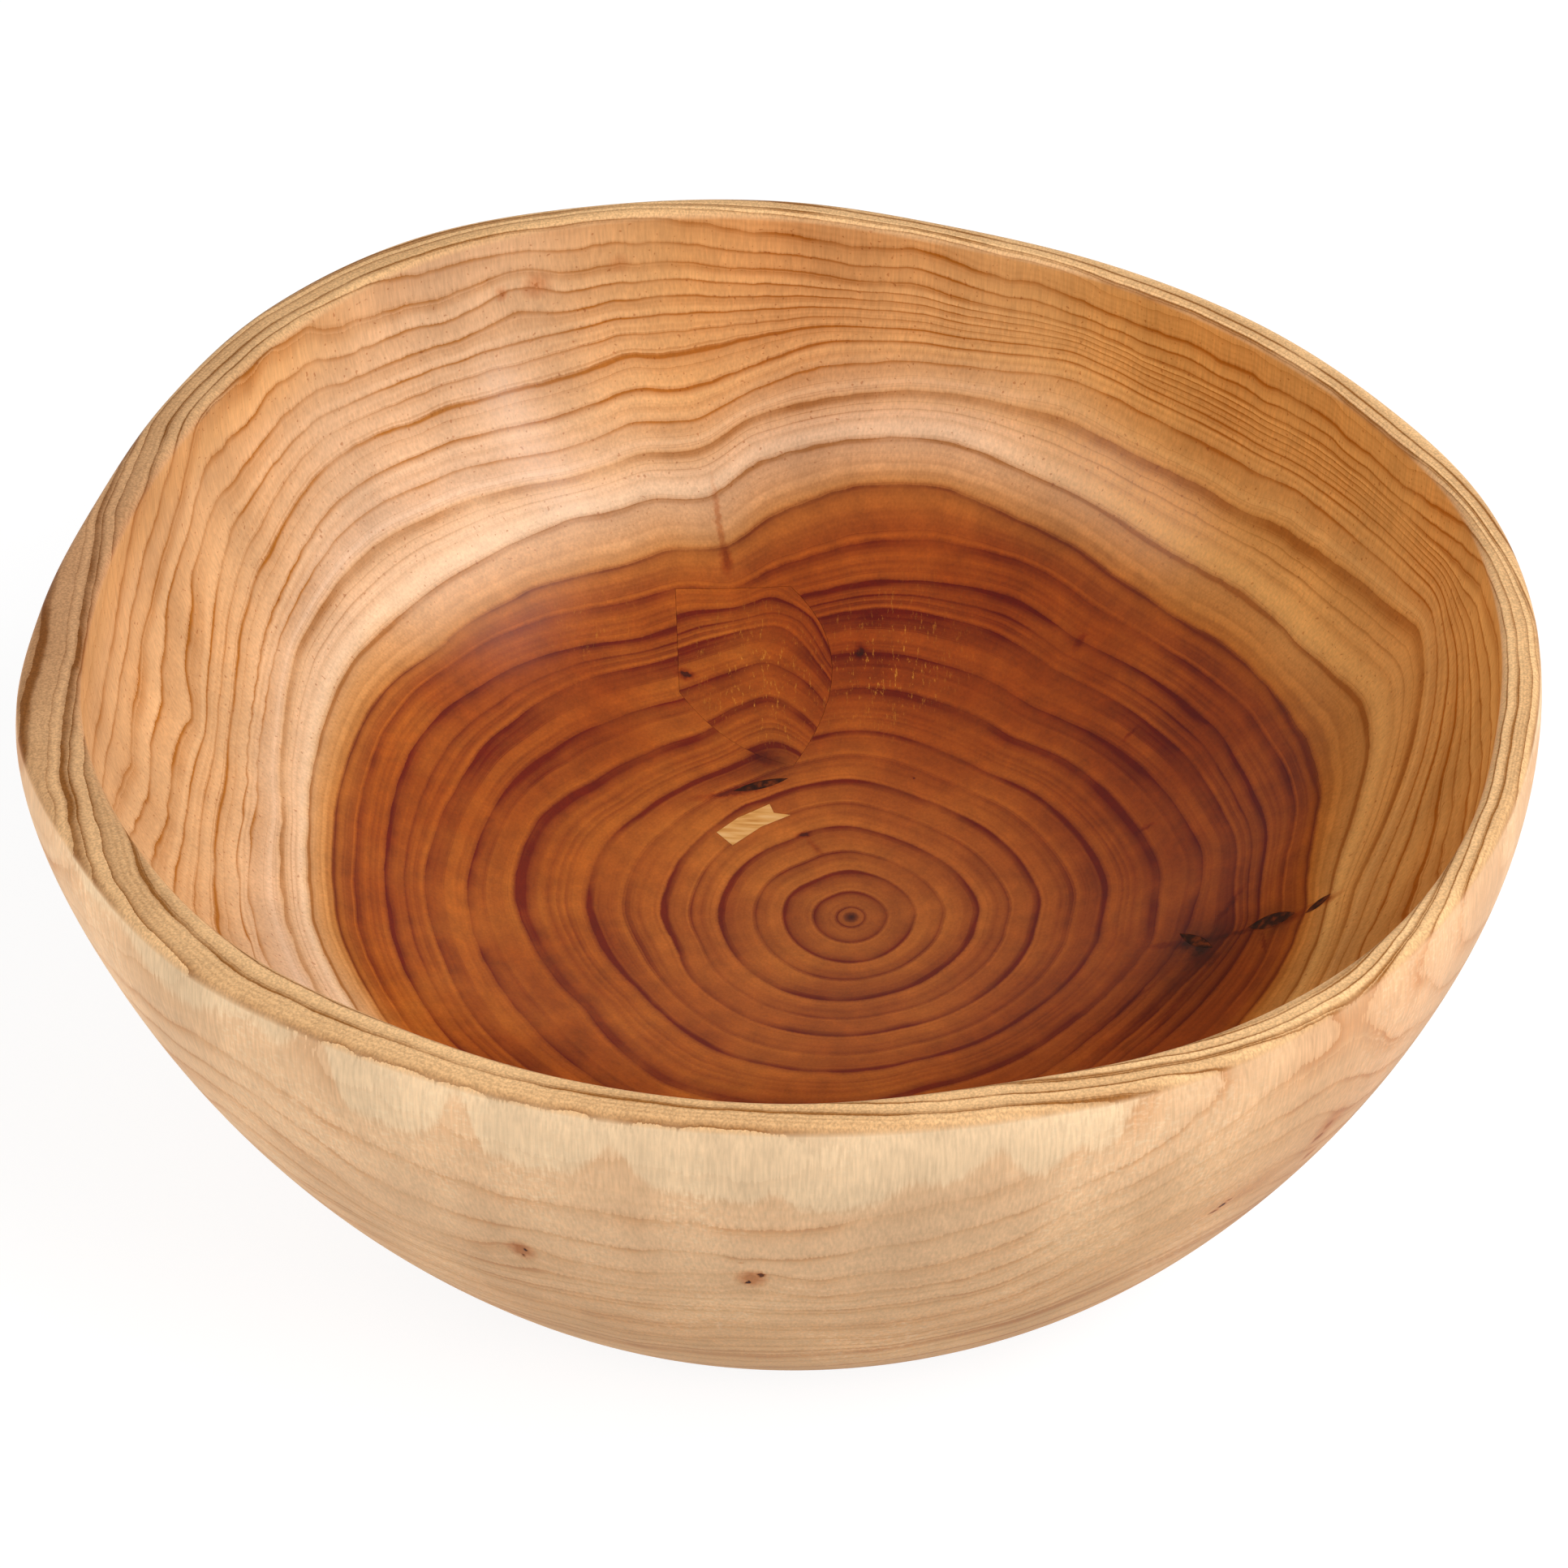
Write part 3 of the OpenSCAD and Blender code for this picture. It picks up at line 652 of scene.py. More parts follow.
def add(tree, kind, inputs=(), out=0, stops=(), **settings):
    """Adds one shader node, with its settings, the values or links of its sockets and the stops of its ramp.
    Gives one of the node's outputs, or the node itself where it has none."""
    node = tree.nodes.new("ShaderNode" + kind)
    for name, value in settings.items():
        setattr(node, name, value)
    for socket, value in dict(inputs).items():
        if isinstance(value, bpy.types.NodeSocket):
            tree.links.new(value, node.inputs[socket])
        else:
            node.inputs[socket].default_value = value
    for k, (place, colour) in enumerate(stops):
        element = node.color_ramp.elements[k] if k < 2 else node.color_ramp.elements.new(place)
        element.position, element.color = place, colour
    return node.outputs[out] if node.outputs else node


def new_tree(name):
    """A new material with an empty node tree."""
    material = bpy.data.materials.new(name)
    material.use_nodes = True
    material.node_tree.nodes.clear()
    return material, material.node_tree


def per(sizes):
    """A pattern's sizes along x, y and z as the scale that gives it those sizes."""
    return tuple(1 / size for size in sizes)


# Sockets of a Mix node, for colours and for plain values
FACTOR, FIRST, SECOND, FIRST_VALUE, SECOND_VALUE = 0, 6, 7, 2, 3
# What makes a Mix node blend two colours, or darken the first by the second
BLEND = {"out": 2, "data_type": "RGBA"}
DARKEN = {**BLEND, "blend_type": "MULTIPLY"}

# Specular level, least and most roughness of the two finishes
LACQUER = 0.13, 0.18, 0.27
WAX = 0.05, 0.42, 0.55
# Sizes of the fir's patterns along x, y and z in mm, with fibres and pores coarser than real, to show
FIBRE = 0.6, 0.6, 7.0
CLOUD = 26.0, 26.0, 60.0
FLECK = 1.4, 1.4, 0.9
TORN_FIBRE = 0.8, 3.0, 3.0
RIM_PORE = 0.5, 0.5, 1.5
# Mottling, open pores, the ragged edges of knots, and how far those stray, in mm
MOTTLE, PORE, RAGGED, STRAY = 5.0, 0.9, 1.8, 1.1
# Depth of the fibres' relief in mm
RELIEF = 0.15
# Bands across the rings: broad ones and hair lines to a millimetre, and the gap in mm between thin ones
BROAD_PER_MM, HAIR_PER_MM, THIN_GAP = 0.4, 1.3, 1.7
# How far a ring sways, and how far its fibres fray it inside and on the outer wall, in mm
SWAY, FRAY_INSIDE, FRAY_OUTSIDE = 0.5, 0.14, 0.25
# Radius from the pith in mm where the rings sway in full
SWAY_FULL = 110.0
# Mean ring radii in mm between which bands come in and calm down, gold and mottling go, and pores come in
BANDS_IN = 25.0, 100.0
BANDS_CALM = 105.0, 125.0
GOLD_OUT = 100.0, 110.0
MOTTLE_OUT = 104.0, 120.0
PORES_IN = 112.0, 118.0
# Heights on the outer wall in mm, going down, between which hair lines come in
HAIR_HEIGHTS = 92.0, 48.0
# Early and late wood from the pith to the bark: mean ring radius in mm, early colour, late colour
WOOD_TONES = [
    (0, "#34120A", "#34120A"),
    (1.3, "#6A3014", "#4C1C0C"),
    (2, "#A85C24", "#6C2006"),
    (35, "#B66426", "#6E2006"),
    (62, "#B5611D", "#701F05"),
    (92, "#AC5616", "#6C1C04"),
    (104, "#B25C1A", "#6E1E04"),
    (110, "#C07634", "#7A3612"),
    (111, "#CE9054", "#8E5226"),
    (118, "#E4B88E", "#A8703E"),
    (119, "#F2CEA8", "#BE8C60"),
    (125, "#F0C69E", "#B88252"),
    (130, "#E8BA8C", "#AC7442"),
    (131, "#EAC4A2", "#B67A3E"),
    (140, "#E8BE96", "#AE6E2E"),
    (170, "#E8BE92", "#AA6E2E"),
]
# Early wood of the outer wall: mean ring radius in mm and colour
SANDED_TONES = [(110, "#CA8A46"), (140, "#E4B47C"), (155, "#ECC296")]
# Small dark places: x, y, z, radii along, across and up the trunk, turn in plan and depth of tone
SPECKS = [
    (94, -5.6, 38, 4.0, 1.6, 12, -17, 0.95), (88, -3.5, 35, 4, 0.9, 12, -15, 0.6),
    (96, -12, 40, 4, 2.4, 12, -60, 0.6), (85, -24, 35, 11, 0.8, 12, 47, 0.6),
    (89, -27, 37, 11, 0.9, 12, 55, 0.65), (79, -21, 33, 11, 0.7, 12, 40, 0.55),
    (109, -16, 47, 3.5, 0.4, 12, 92, 0.7), (103, 2.5, 42, 6, 0.8, 12, 50, 0.7),
    (104, -8.5, 43, 8, 0.8, 12, -15, 0.75), (113.6, -11.5, 49, 5, 1.5, 12, -17, 0.75),
    (122, -12.8, 56, 3.5, 1.1, 14, -14, 0.75), (-4.7, 73.3, 30, 4, 2.0, 12, -25, 0.75),
    (-11, 63.5, 27, 10, 1.0, 12, 15, 0.8), (4.8, 50.4, 24, 2.0, 1.0, 12, 15, 0.93),
    (7.5, 46.5, 24, 2.8, 0.9, 12, -55, 0.5), (-16.0, 129, 60, 7, 0.7, 30, 102, 0.5),
    (-14.3, 122, 54, 3, 1.3, 6, 102, 0.75), (83.2, 64.4, 44, 2, 0.5, 12, 31, 0.65),
    (85.7, 36.7, 37, 2, 0.7, 12, 11, 0.7), (72.2, 91.5, 52, 1.6, 1.0, 12, 50, 0.65),
    (-24.1, 94.9, 39, 2.2, 1.4, 12, 170, 0.97), (19, 100.4, 42, 1.8, 1.2, 12, 88, 0.94),
    (31.4, 65.5, 30, 0.5, 0.5, 12, 0, 0.95), (-52.8, -151.0, 79.6, 2.6, 3, 3.6, 0, 0.66),
    (-52.0, -151.3, 80.4, 0.8, 2, 0.9, 0, 1.0), (-52.6, -150.6, 77.5, 0.8, 2, 0.9, 0, 1.0),
    (-60.5, 153, 114.7, 3.2, 3, 2.8, 0, 0.45), (-60.5, 153, 114.7, 0.8, 2, 0.9, 0, 0.7),
    (-69, 149.5, 114.4, 1.2, 2, 1.8, 0, 0.5), (-40.5, 159, 117.2, 2.2, 3, 2.2, 0, 0.25),
    (-6.4, -161.4, 81.8, 2.6, 3, 3.4, 0, 0.66), (-6.9, -161.0, 80.1, 0.8, 2, 0.9, 0, 1.0),
    (-4.6, -161.9, 83.6, 0.8, 2, 1.5, 0, 0.97), (-8.4, -162, 88.6, 0.8, 2, 0.5, 0, 0.7),
    (93, -131.5, 78.5, 11, 4, 4, 35, 0.3), (88.3, -134.9, 75.0, 1.4, 2, 0.7, 35, 0.95),
    (89.6, -134.2, 76.4, 1.4, 2, 0.7, 35, 1.0), (90.8, -133.6, 77.6, 1.2, 2, 0.6, 35, 0.85),
    (112, -121, 86, 4, 5, 7, 46, 0.4), (110.2, -120.7, 82.9, 2.0, 2, 1.5, 46, 0.8),
    (112, -120.9, 86.5, 1.8, 2, 2.5, 46, 0.7), (109.3, -115.4, 73, 2.0, 2, 1.6, 46, 0.7),
    (114.4, -77, 45, 2, 4, 3.5, 0, 0.6), (117, -63, 40, 2.5, 4, 5, 0, 0.6),
    (146.3, -37.7, 67.4, 0.5, 2, 0.5, 0, 0.95),
]


def wood_places(tree):
    """What the rest of the fir reads at a point: its place in mm, noises of fibre and cloud, what the piece
    keeps on its vertices, and the mean radius of the ring there, swayed a little and frayed by the fibres."""
    place = add(tree, "TexCoord", out="Object")
    mm = add(tree, "VectorMath", {0: place, "Scale": 1 / MM}, operation="SCALE")
    fibre_at = add(tree, "VectorMath", {0: mm, 1: per(FIBRE)}, operation="MULTIPLY")
    fibre = add(tree, "TexNoise", {"Vector": fibre_at, "Scale": 1.0, "Detail": 2.0})
    cloud_at = add(tree, "VectorMath", {0: mm, 1: per(CLOUD)}, operation="MULTIPLY")
    clouds = add(tree, "TexNoise", {"Vector": cloud_at, "Scale": 1.0, "Detail": 3.0}, out="Color")
    wander, cloud, band = add(tree, "SeparateColor", {0: clouds}).node.outputs
    kept = {name: add(tree, "Attribute", attribute_name=name, out="Fac") for name in FIELDS}
    wood = SimpleNamespace(mm=mm, fibre=fibre, wander=wander, cloud=cloud, band=band, **kept)
    off = add(tree, "VectorMath", {0: mm, 1: (1, 1, 0), 2: (-PITH[0], -PITH[1], 0)}, operation="MULTIPLY_ADD")
    radius = add(tree, "VectorMath", {0: off}, out="Value", operation="LENGTH")
    mean = add(tree, "Math", {0: radius, 1: wood.ring_shift}, operation="ADD")
    sway = add(tree, "MapRange", {
        "Value": wander, "From Min": 0.2, "From Max": 0.8, "To Min": -SWAY, "To Max": SWAY}, clamp=False)
    grown = add(tree, "MapRange", {"Value": radius, "From Max": SWAY_FULL, "To Min": 0.06})
    grown = add(tree, "Math", {0: wood.warm, 1: 0.8, 2: grown}, operation="MULTIPLY_ADD")
    mean = add(tree, "Math", {0: sway, 1: grown, 2: mean}, operation="MULTIPLY_ADD")
    fray = add(tree, "MapRange", {"Value": wood.outside, "To Min": FRAY_INSIDE, "To Max": FRAY_OUTSIDE})
    wood.tooth = add(tree, "Math", {0: fibre, 1: 0.5}, operation="SUBTRACT")
    wood.mean = add(tree, "Math", {0: wood.tooth, 1: fray, 2: mean}, operation="MULTIPLY_ADD")
    wood.along = add(tree, "Math", {0: wood.mean, 1: RING_END}, operation="DIVIDE")
    fair = add(tree, "MapRange", {"Value": wood.outside, "To Min": 1.0, "To Max": 0.5})
    wood.deep = add(tree, "Math", {0: wood.deep, 1: fair}, operation="MULTIPLY")
    wood.patchy = add(tree, "TexNoise", {"Vector": mm, "Scale": 1 / MOTTLE, "Detail": 4.0, "Roughness": 0.6})
    return wood


def ring_lines(tree, wood):
    """How dark the wood is across its rings: each darkens outwards to its late-wood line, then fades."""
    count = len(RINGS) + 1
    starts = [0] + [row[0] / RING_END for row in RINGS]
    steps = [(start, (k / count,) * 3 + (1,)) for k, start in enumerate(starts)]
    ring = add(tree, "ValToRGB", {"Fac": wood.along}, stops=steps + [(1, (1, 1, 1, 1))])
    ring = add(tree, "Math", {0: ring, 1: float(count)}, operation="MULTIPLY")
    part = add(tree, "Math", {0: ring}, operation="FRACT")
    weights = [(start, (*row[1:], 1)) for start, row in zip(starts, RINGS)]
    strength = add(tree, "ValToRGB", {"Fac": wood.along}, stops=weights)
    strength.node.color_ramp.interpolation = "CONSTANT"
    late_weight, line_weight, fineness = add(tree, "SeparateColor", {0: strength}).node.outputs
    power = add(tree, "Math", {0: fineness, 1: 7.0}, operation="MULTIPLY")
    late = add(tree, "Math", {0: part, 1: power}, operation="POWER")
    tail = add(tree, "MapRange", {"Value": part, "From Min": 0.11, "From Max": 0.0, "To Max": 0.9})
    wood.late = add(tree, "Math", {0: late, 1: tail}, operation="MAXIMUM")
    wood.line = add(tree, "MapRange", {"Value": part, "From Min": 0.80, "From Max": 0.99},
                    interpolation_type="SMOOTHSTEP")
    dark = add(tree, "Math", {0: wood.late, 1: late_weight}, operation="MULTIPLY")
    wood.dark = add(tree, "Math", {0: wood.line, 1: line_weight, 2: dark}, operation="MULTIPLY_ADD")


def ring_bands(tree, wood):
    """Broad and thin bands between the ring lines, no two rings alike, added to how dark the wood is."""
    stir = add(tree, "TexNoise", {"W": wood.mean, "Scale": BROAD_PER_MM, "Detail": 3.0, "Roughness": 0.6},
               noise_dimensions="1D")
    broad = add(tree, "MapRange", {
        "Value": stir, "From Min": 0.35, "From Max": 0.75, "To Min": -0.02, "To Max": 0.5}, clamp=False)
    calm = add(tree, "MapRange", {
        "Value": wood.mean, "From Min": BANDS_CALM[0], "From Max": BANDS_CALM[1],
        "To Min": 1.0, "To Max": 0.6})
    broad = add(tree, "Math", {0: broad, 1: calm}, operation="MULTIPLY")
    run = add(tree, "Math", {0: stir, 1: 2.0}, operation="MULTIPLY")
    run = add(tree, "Math", {0: wood.mean, 1: 1 / THIN_GAP, 2: run}, operation="MULTIPLY_ADD")
    number = add(tree, "Math", {0: run}, operation="FLOOR")
    chance = add(tree, "TexWhiteNoise", {"W": number}, noise_dimensions="1D")
    chance = add(tree, "MapRange", {"Value": chance, "From Min": 0.3, "To Max": 0.42})
    thin = add(tree, "Math", {0: run}, operation="FRACT")
    thin = add(tree, "Math", {0: thin, 1: 4.0}, operation="POWER")
    wood.thin = add(tree, "Math", {0: thin, 1: chance}, operation="MULTIPLY")
    fine = add(tree, "Math", {0: wood.line, 1: 0.35, 2: wood.thin}, operation="MULTIPLY_ADD")
    wood.fine = add(tree, "Math", {0: fine, 1: 0.75}, operation="MULTIPLY")
    bands = add(tree, "Math", {0: wood.thin, 1: broad}, operation="ADD")
    coming = add(tree, "MapRange", {
        "Value": wood.mean, "From Min": BANDS_IN[0], "From Max": BANDS_IN[1], "To Min": 0.45, "To Max": 1.0})
    dark = add(tree, "Math", {0: bands, 1: coming, 2: wood.dark}, operation="MULTIPLY_ADD")
    clear = add(tree, "MapRange", {
        "Value": wood.band, "From Min": 0.3, "From Max": 0.7, "To Min": 0.4, "To Max": 1.35})
    clear = add(tree, "Math", {0: wood.warm, 1: 0.4, 2: clear}, operation="MULTIPLY_ADD")
    wood.dark = add(tree, "Math", {0: dark, 1: clear}, operation="MULTIPLY", use_clamp=True)


def inner_tone(tree, wood):
    """The hollow's colour: early wood darkened to late wood by the rings, golden clouds in the heart, painted
    shade with the orange of bounce light on the sapwood at the right and the back, and warmer sapwood up the
    left side."""
    early_stops = [(radius / RING_END, paint(early)) for radius, early, _ in WOOD_TONES]
    late_stops = [(radius / RING_END, paint(late)) for radius, _, late in WOOD_TONES]
    early = add(tree, "ValToRGB", {"Fac": wood.along}, stops=early_stops)
    golden = add(tree, "MapRange", {"Value": wood.cloud, "From Min": 0.42, "From Max": 0.62})
    heart = add(tree, "MapRange", {
        "Value": wood.mean, "From Min": GOLD_OUT[0], "From Max": GOLD_OUT[1], "To Min": 0.3, "To Max": 0.0})
    golden = add(tree, "Math", {0: golden, 1: heart}, operation="MULTIPLY")
    early = add(tree, "Mix", {FACTOR: golden, FIRST: early, SECOND: paint("#BC782E")}, **BLEND)
    late = add(tree, "ValToRGB", {"Fac": wood.along}, stops=late_stops)
    colour = add(tree, "Mix", {FACTOR: wood.dark, FIRST: early, SECOND: late}, **BLEND)
    # Darker and more orange: painted shade and bounce light on the right and back, the wood's own warmer tone
    # on the left
    return add(tree, "Mix", {FACTOR: wood.warm, FIRST: colour, SECOND: paint("#FFE6A4")}, **DARKEN)


def outer_tone(tree, wood):
    """The outer wall's colour: sanded paler with faded lines, hair lines low down, pale flecks where the
    skin tore, and ragged pale patches of the outermost ring."""
    fade = add(tree, "MapRange", {
        "Value": wood.wander, "From Min": 0.4, "From Max": 0.6, "To Min": 0.2, "To Max": 0.9})
    faded = add(tree, "Math", {0: wood.late, 1: 0.2, 2: wood.fine}, operation="MULTIPLY_ADD")
    faded = add(tree, "Math", {0: faded, 1: fade}, operation="MULTIPLY")
    height = add(tree, "SeparateXYZ", {0: wood.mm}, out="Z")
    low = add(tree, "MapRange", {
        "Value": height, "From Min": HAIR_HEIGHTS[0], "From Max": HAIR_HEIGHTS[1],
        "To Min": 0.15, "To Max": 1.0})
    hair = add(tree, "TexNoise", {"W": wood.mean, "Scale": HAIR_PER_MM, "Detail": 3.0, "Roughness": 0.7},
               noise_dimensions="1D")
    hair = add(tree, "MapRange", {"Value": hair, "From Min": 0.45, "From Max": 0.75, "To Max": 0.6})
    hair = add(tree, "Math", {0: hair, 1: low}, operation="MULTIPLY")
    faded = add(tree, "Math", {0: faded, 1: hair}, operation="ADD")
    dull = add(tree, "Math", {0: wood.dark, 1: 0.2, 2: faded}, operation="MULTIPLY_ADD", use_clamp=True)
    sanded_stops = [(radius / RING_END, paint(code)) for radius, code in SANDED_TONES]
    sanded = add(tree, "ValToRGB", {"Fac": wood.along}, stops=sanded_stops)
    colour = add(tree, "Mix", {FACTOR: dull, FIRST: sanded, SECOND: paint("#BC7436")}, **BLEND)
    fleck_at = add(tree, "VectorMath", {0: wood.mm, 1: per(FLECK)}, operation="MULTIPLY")
    fleck = add(tree, "TexNoise", {"Vector": fleck_at, "Scale": 1.0, "Detail": 2.0})
    fleck = add(tree, "MapRange", {"Value": fleck, "From Min": 0.50, "From Max": 0.68, "To Max": 0.3})
    torn_skin = add(tree, "MapRange", {"Value": wood.cloud, "From Min": 0.45, "From Max": 0.58})
    fleck = add(tree, "Math", {0: fleck, 1: torn_skin}, operation="MULTIPLY")
    colour = add(tree, "Mix", {FACTOR: fleck, FIRST: colour, SECOND: paint("#F4DCB6")}, **BLEND)
    patch = add(tree, "Math", {0: wood.tooth, 1: 0.7, 2: wood.patch}, operation="MULTIPLY_ADD")
    patch = add(tree, "MapRange", {"Value": patch, "From Min": -0.12, "From Max": 0.22, "To Max": 0.5},
                interpolation_type="SMOOTHSTEP")
    return add(tree, "Mix", {FACTOR: patch, FIRST: colour, SECOND: paint("#F2D8B0")}, **BLEND)


def with_fibres(tree, wood, colour):
    """The colour with fibres, clouds and mottling over it, and a few open pores in the hollow's sapwood."""
    speck = add(tree, "MapRange", {
        "Value": wood.fibre, "From Min": 0.3, "From Max": 0.7, "To Min": 0.90, "To Max": 1.10})
    cloud = add(tree, "MapRange", {
        "Value": wood.cloud, "From Min": 0.3, "From Max": 0.7, "To Min": 0.86, "To Max": 1.10})
    tone = add(tree, "Math", {0: speck, 1: cloud}, operation="MULTIPLY")
    mottle = add(tree, "MapRange", {
        "Value": wood.patchy, "From Min": 0.3, "From Max": 0.7, "To Min": 0.85, "To Max": 1.15})
    going = add(tree, "MapRange", {
        "Value": wood.mean, "From Min": MOTTLE_OUT[0], "From Max": MOTTLE_OUT[1],
        "To Min": 1.0, "To Max": 0.35})
    mottle = add(tree, "Mix", {FACTOR: going, FIRST_VALUE: 1.0, SECOND_VALUE: mottle})
    tone = add(tree, "Math", {0: tone, 1: mottle}, operation="MULTIPLY")
    colour = add(tree, "VectorMath", {0: colour, "Scale": tone}, operation="SCALE")
    pore = add(tree, "TexNoise", {"Vector": wood.mm, "Scale": 1 / PORE, "Detail": 0.0})
    pore = add(tree, "MapRange", {"Value": pore, "From Min": 0.76, "From Max": 0.82, "To Max": 0.5})
    pale = add(tree, "MapRange", {"Value": wood.mean, "From Min": PORES_IN[0], "From Max": PORES_IN[1]})
    pale = add(tree, "Math", {0: pale, 1: wood.outside}, operation="SUBTRACT", use_clamp=True)
    pore = add(tree, "Math", {0: pore, 1: pale}, operation="MULTIPLY")
    return add(tree, "Mix", {FACTOR: pore, FIRST: colour, SECOND: paint("#B87C48")}, **DARKEN)


def with_stains(tree, wood, colour):
    """The colour with its deeper places and painted shade, pale torn fibres, and the dark resin round the
    checks.
    """
    # Deeper heartwood tone, and painted shade on the sapwood of the right and back walls
    colour = add(tree, "Mix", {FACTOR: wood.deep, FIRST: colour, SECOND: paint("#CE9A88")}, **DARKEN)
    torn_at = add(tree, "VectorMath", {0: wood.mm, 1: per(TORN_FIBRE)}, operation="MULTIPLY")
    torn = add(tree, "TexNoise", {"Vector": torn_at, "Scale": 1.0, "Detail": 4.0, "Roughness": 0.75})
    torn = add(tree, "MapRange", {"Value": torn, "From Min": 0.58, "From Max": 0.70, "To Max": 0.85})
    torn = add(tree, "Math", {0: wood.scratch, 1: torn}, operation="MULTIPLY")
    colour = add(tree, "Mix", {FACTOR: torn, FIRST: colour, SECOND: paint("#D48E32")}, **BLEND)
    patchy = add(tree, "MapRange", {
        "Value": wood.patchy, "From Min": 0.35, "From Max": 0.65, "To Min": 0.35, "To Max": 1.15})
    stain = add(tree, "Math", {0: wood.stain, 1: patchy}, operation="MULTIPLY", use_clamp=True)
    return add(tree, "Mix", {FACTOR: stain, FIRST: colour, SECOND: paint("#2E1008")}, **BLEND)


def with_knots(tree, wood, colour):
    """The colour with pin knots and small dark places: ragged ovals, brown, near black inside."""
    ragged_at = add(tree, "VectorMath", {0: wood.mm, "Scale": 1 / RAGGED}, operation="SCALE")
    ragged = add(tree, "TexNoise", {"Vector": ragged_at, "Scale": 1.0, "Detail": 2.0}, out="Color")
    ragged = add(tree, "VectorMath", {0: ragged, 1: (2 * STRAY,) * 3, 2: (-STRAY,) * 3},
                 operation="MULTIPLY_ADD")
    ragged = add(tree, "VectorMath", {0: wood.mm, 1: ragged}, operation="ADD")
    spots = None
    for x, y, z, *radii, turn, depth in SPECKS:
        away = add(tree, "Mapping", {
            "Vector": ragged, "Location": (x, y, z), "Rotation": (0, 0, np.radians(turn)), "Scale": radii},
            vector_type="TEXTURE")
        away = add(tree, "VectorMath", {0: away}, out="Value", operation="LENGTH")
        spot = add(tree, "MapRange", {"Value": away, "From Min": 1.5, "From Max": 0.5, "To Max": depth})
        spots = spot if spots is None else add(tree, "Math", {0: spots, 1: spot}, operation="MAXIMUM")
    colour = add(tree, "Mix", {FACTOR: spots, FIRST: colour, SECOND: paint("#D08A34")}, **DARKEN)
    core = add(tree, "Math", {0: spots, 1: 5.0}, operation="POWER")
    return add(tree, "Mix", {FACTOR: core, FIRST: colour, SECOND: paint("#2C1006")}, **BLEND)


def end_grain(tree, wood):
    """The rim's colour: cream end grain with crowded dark lines and coarse pores, darker and greyer on the
    left with painted shade.
    """
    pore_at = add(tree, "VectorMath", {0: wood.mm, 1: per(RIM_PORE)}, operation="MULTIPLY")
    pore = add(tree, "TexNoise", {"Vector": pore_at, "Scale": 1.0, "Detail": 2.0})
    pore = add(tree, "MapRange", {
        "Value": pore, "From Min": 0.35, "From Max": 0.65, "To Min": 0.80, "To Max": 1.16})
    lines = add(tree, "Math", {0: wood.thin, 1: 1.3, 2: wood.fine}, operation="MULTIPLY_ADD")
    lines = add(tree, "Math", {0: wood.dark, 1: 1.1, 2: lines}, operation="MULTIPLY_ADD", use_clamp=True)
    colour = add(tree, "Mix", {FACTOR: lines, FIRST: paint("#EEC08A"), SECOND: paint("#8E5A28")}, **BLEND)
    colour = add(tree, "VectorMath", {0: colour, "Scale": pore}, operation="SCALE")
    # Painted shade on the rim's left side, darkening and greying the end grain
    return add(tree, "Mix", {FACTOR: wood.deep, FIRST: colour, SECOND: paint("#D8CCCC")}, **DARKEN)


def fir(name, gloss, smoothest, roughest):
    """Fir, carved across the trunk and sanded: rings that darken outwards to a crisp late-wood line, red
    heartwood and cream sapwood, fine fibres up the trunk. Lacquer gives it a satin sheen, wax alone leaves it
    nearly matt."""
    material, tree = new_tree(name)
    wood = wood_places(tree)
    ring_lines(tree, wood)
    ring_bands(tree, wood)
    inner, outer = inner_tone(tree, wood), outer_tone(tree, wood)
    colour = add(tree, "Mix", {FACTOR: wood.outside, FIRST: inner, SECOND: outer}, **BLEND)
    colour = with_fibres(tree, wood, colour)
    colour = with_stains(tree, wood, colour)
    colour = with_knots(tree, wood, colour)
    colour = add(tree, "Mix", {FACTOR: wood.rim, FIRST: colour, SECOND: end_grain(tree, wood)}, **BLEND)
    rough = add(tree, "MapRange", {
        "Value": wood.fibre, "From Min": 0.2, "From Max": 0.8, "To Min": smoothest, "To Max": roughest})
    bump = add(tree, "Bump", {"Height": wood.fibre, "Strength": 0.10, "Distance": RELIEF * MM})
    shader = add(tree, "BsdfPrincipled", {
        "Base Color": colour, "Roughness": rough, "Normal": bump, "Specular IOR Level": gloss})
    add(tree, "OutputMaterial", {"Surface": shader})
    return material


# Streaks of the pale splinter along, across and up in mm, their turn in degrees, the filler's grains in mm
STREAK, STREAK_TURN, GRIT = (9.0, 1.1, 9.0), 35.0, 2.2
# Where along its noise each has its colours
SPLINTER_TONES = [(0.3, "#BC8240"), (0.5, "#D6A05C"), (0.7, "#E4B87C")]
FILLER_TONES = [(0.35, "#1A0A05"), (0.5, "#34160A"), (0.66, "#6A3014")]


def pale_fir(name):
    """A splinter of pale sapwood, planed flat: long streaks of fibre, almost no rings."""
    material, tree = new_tree(name)
    place = add(tree, "TexCoord", out="Object")
    turned = add(tree, "Mapping", {
        "Vector": place, "Rotation": (0, 0, np.radians(STREAK_TURN)),
        "Scale": [1 / (size * MM) for size in STREAK]})
    streak = add(tree, "TexNoise", {"Vector": turned, "Scale": 1.0, "Detail": 3.0})
    colour = add(tree, "ValToRGB", {"Fac": streak}, stops=[(at, paint(code)) for at, code in SPLINTER_TONES])
    shader = add(tree, "BsdfPrincipled", {"Base Color": colour, "Roughness": 0.5, "Specular IOR Level": 0.1})
    add(tree, "OutputMaterial", {"Surface": shader})
    return material


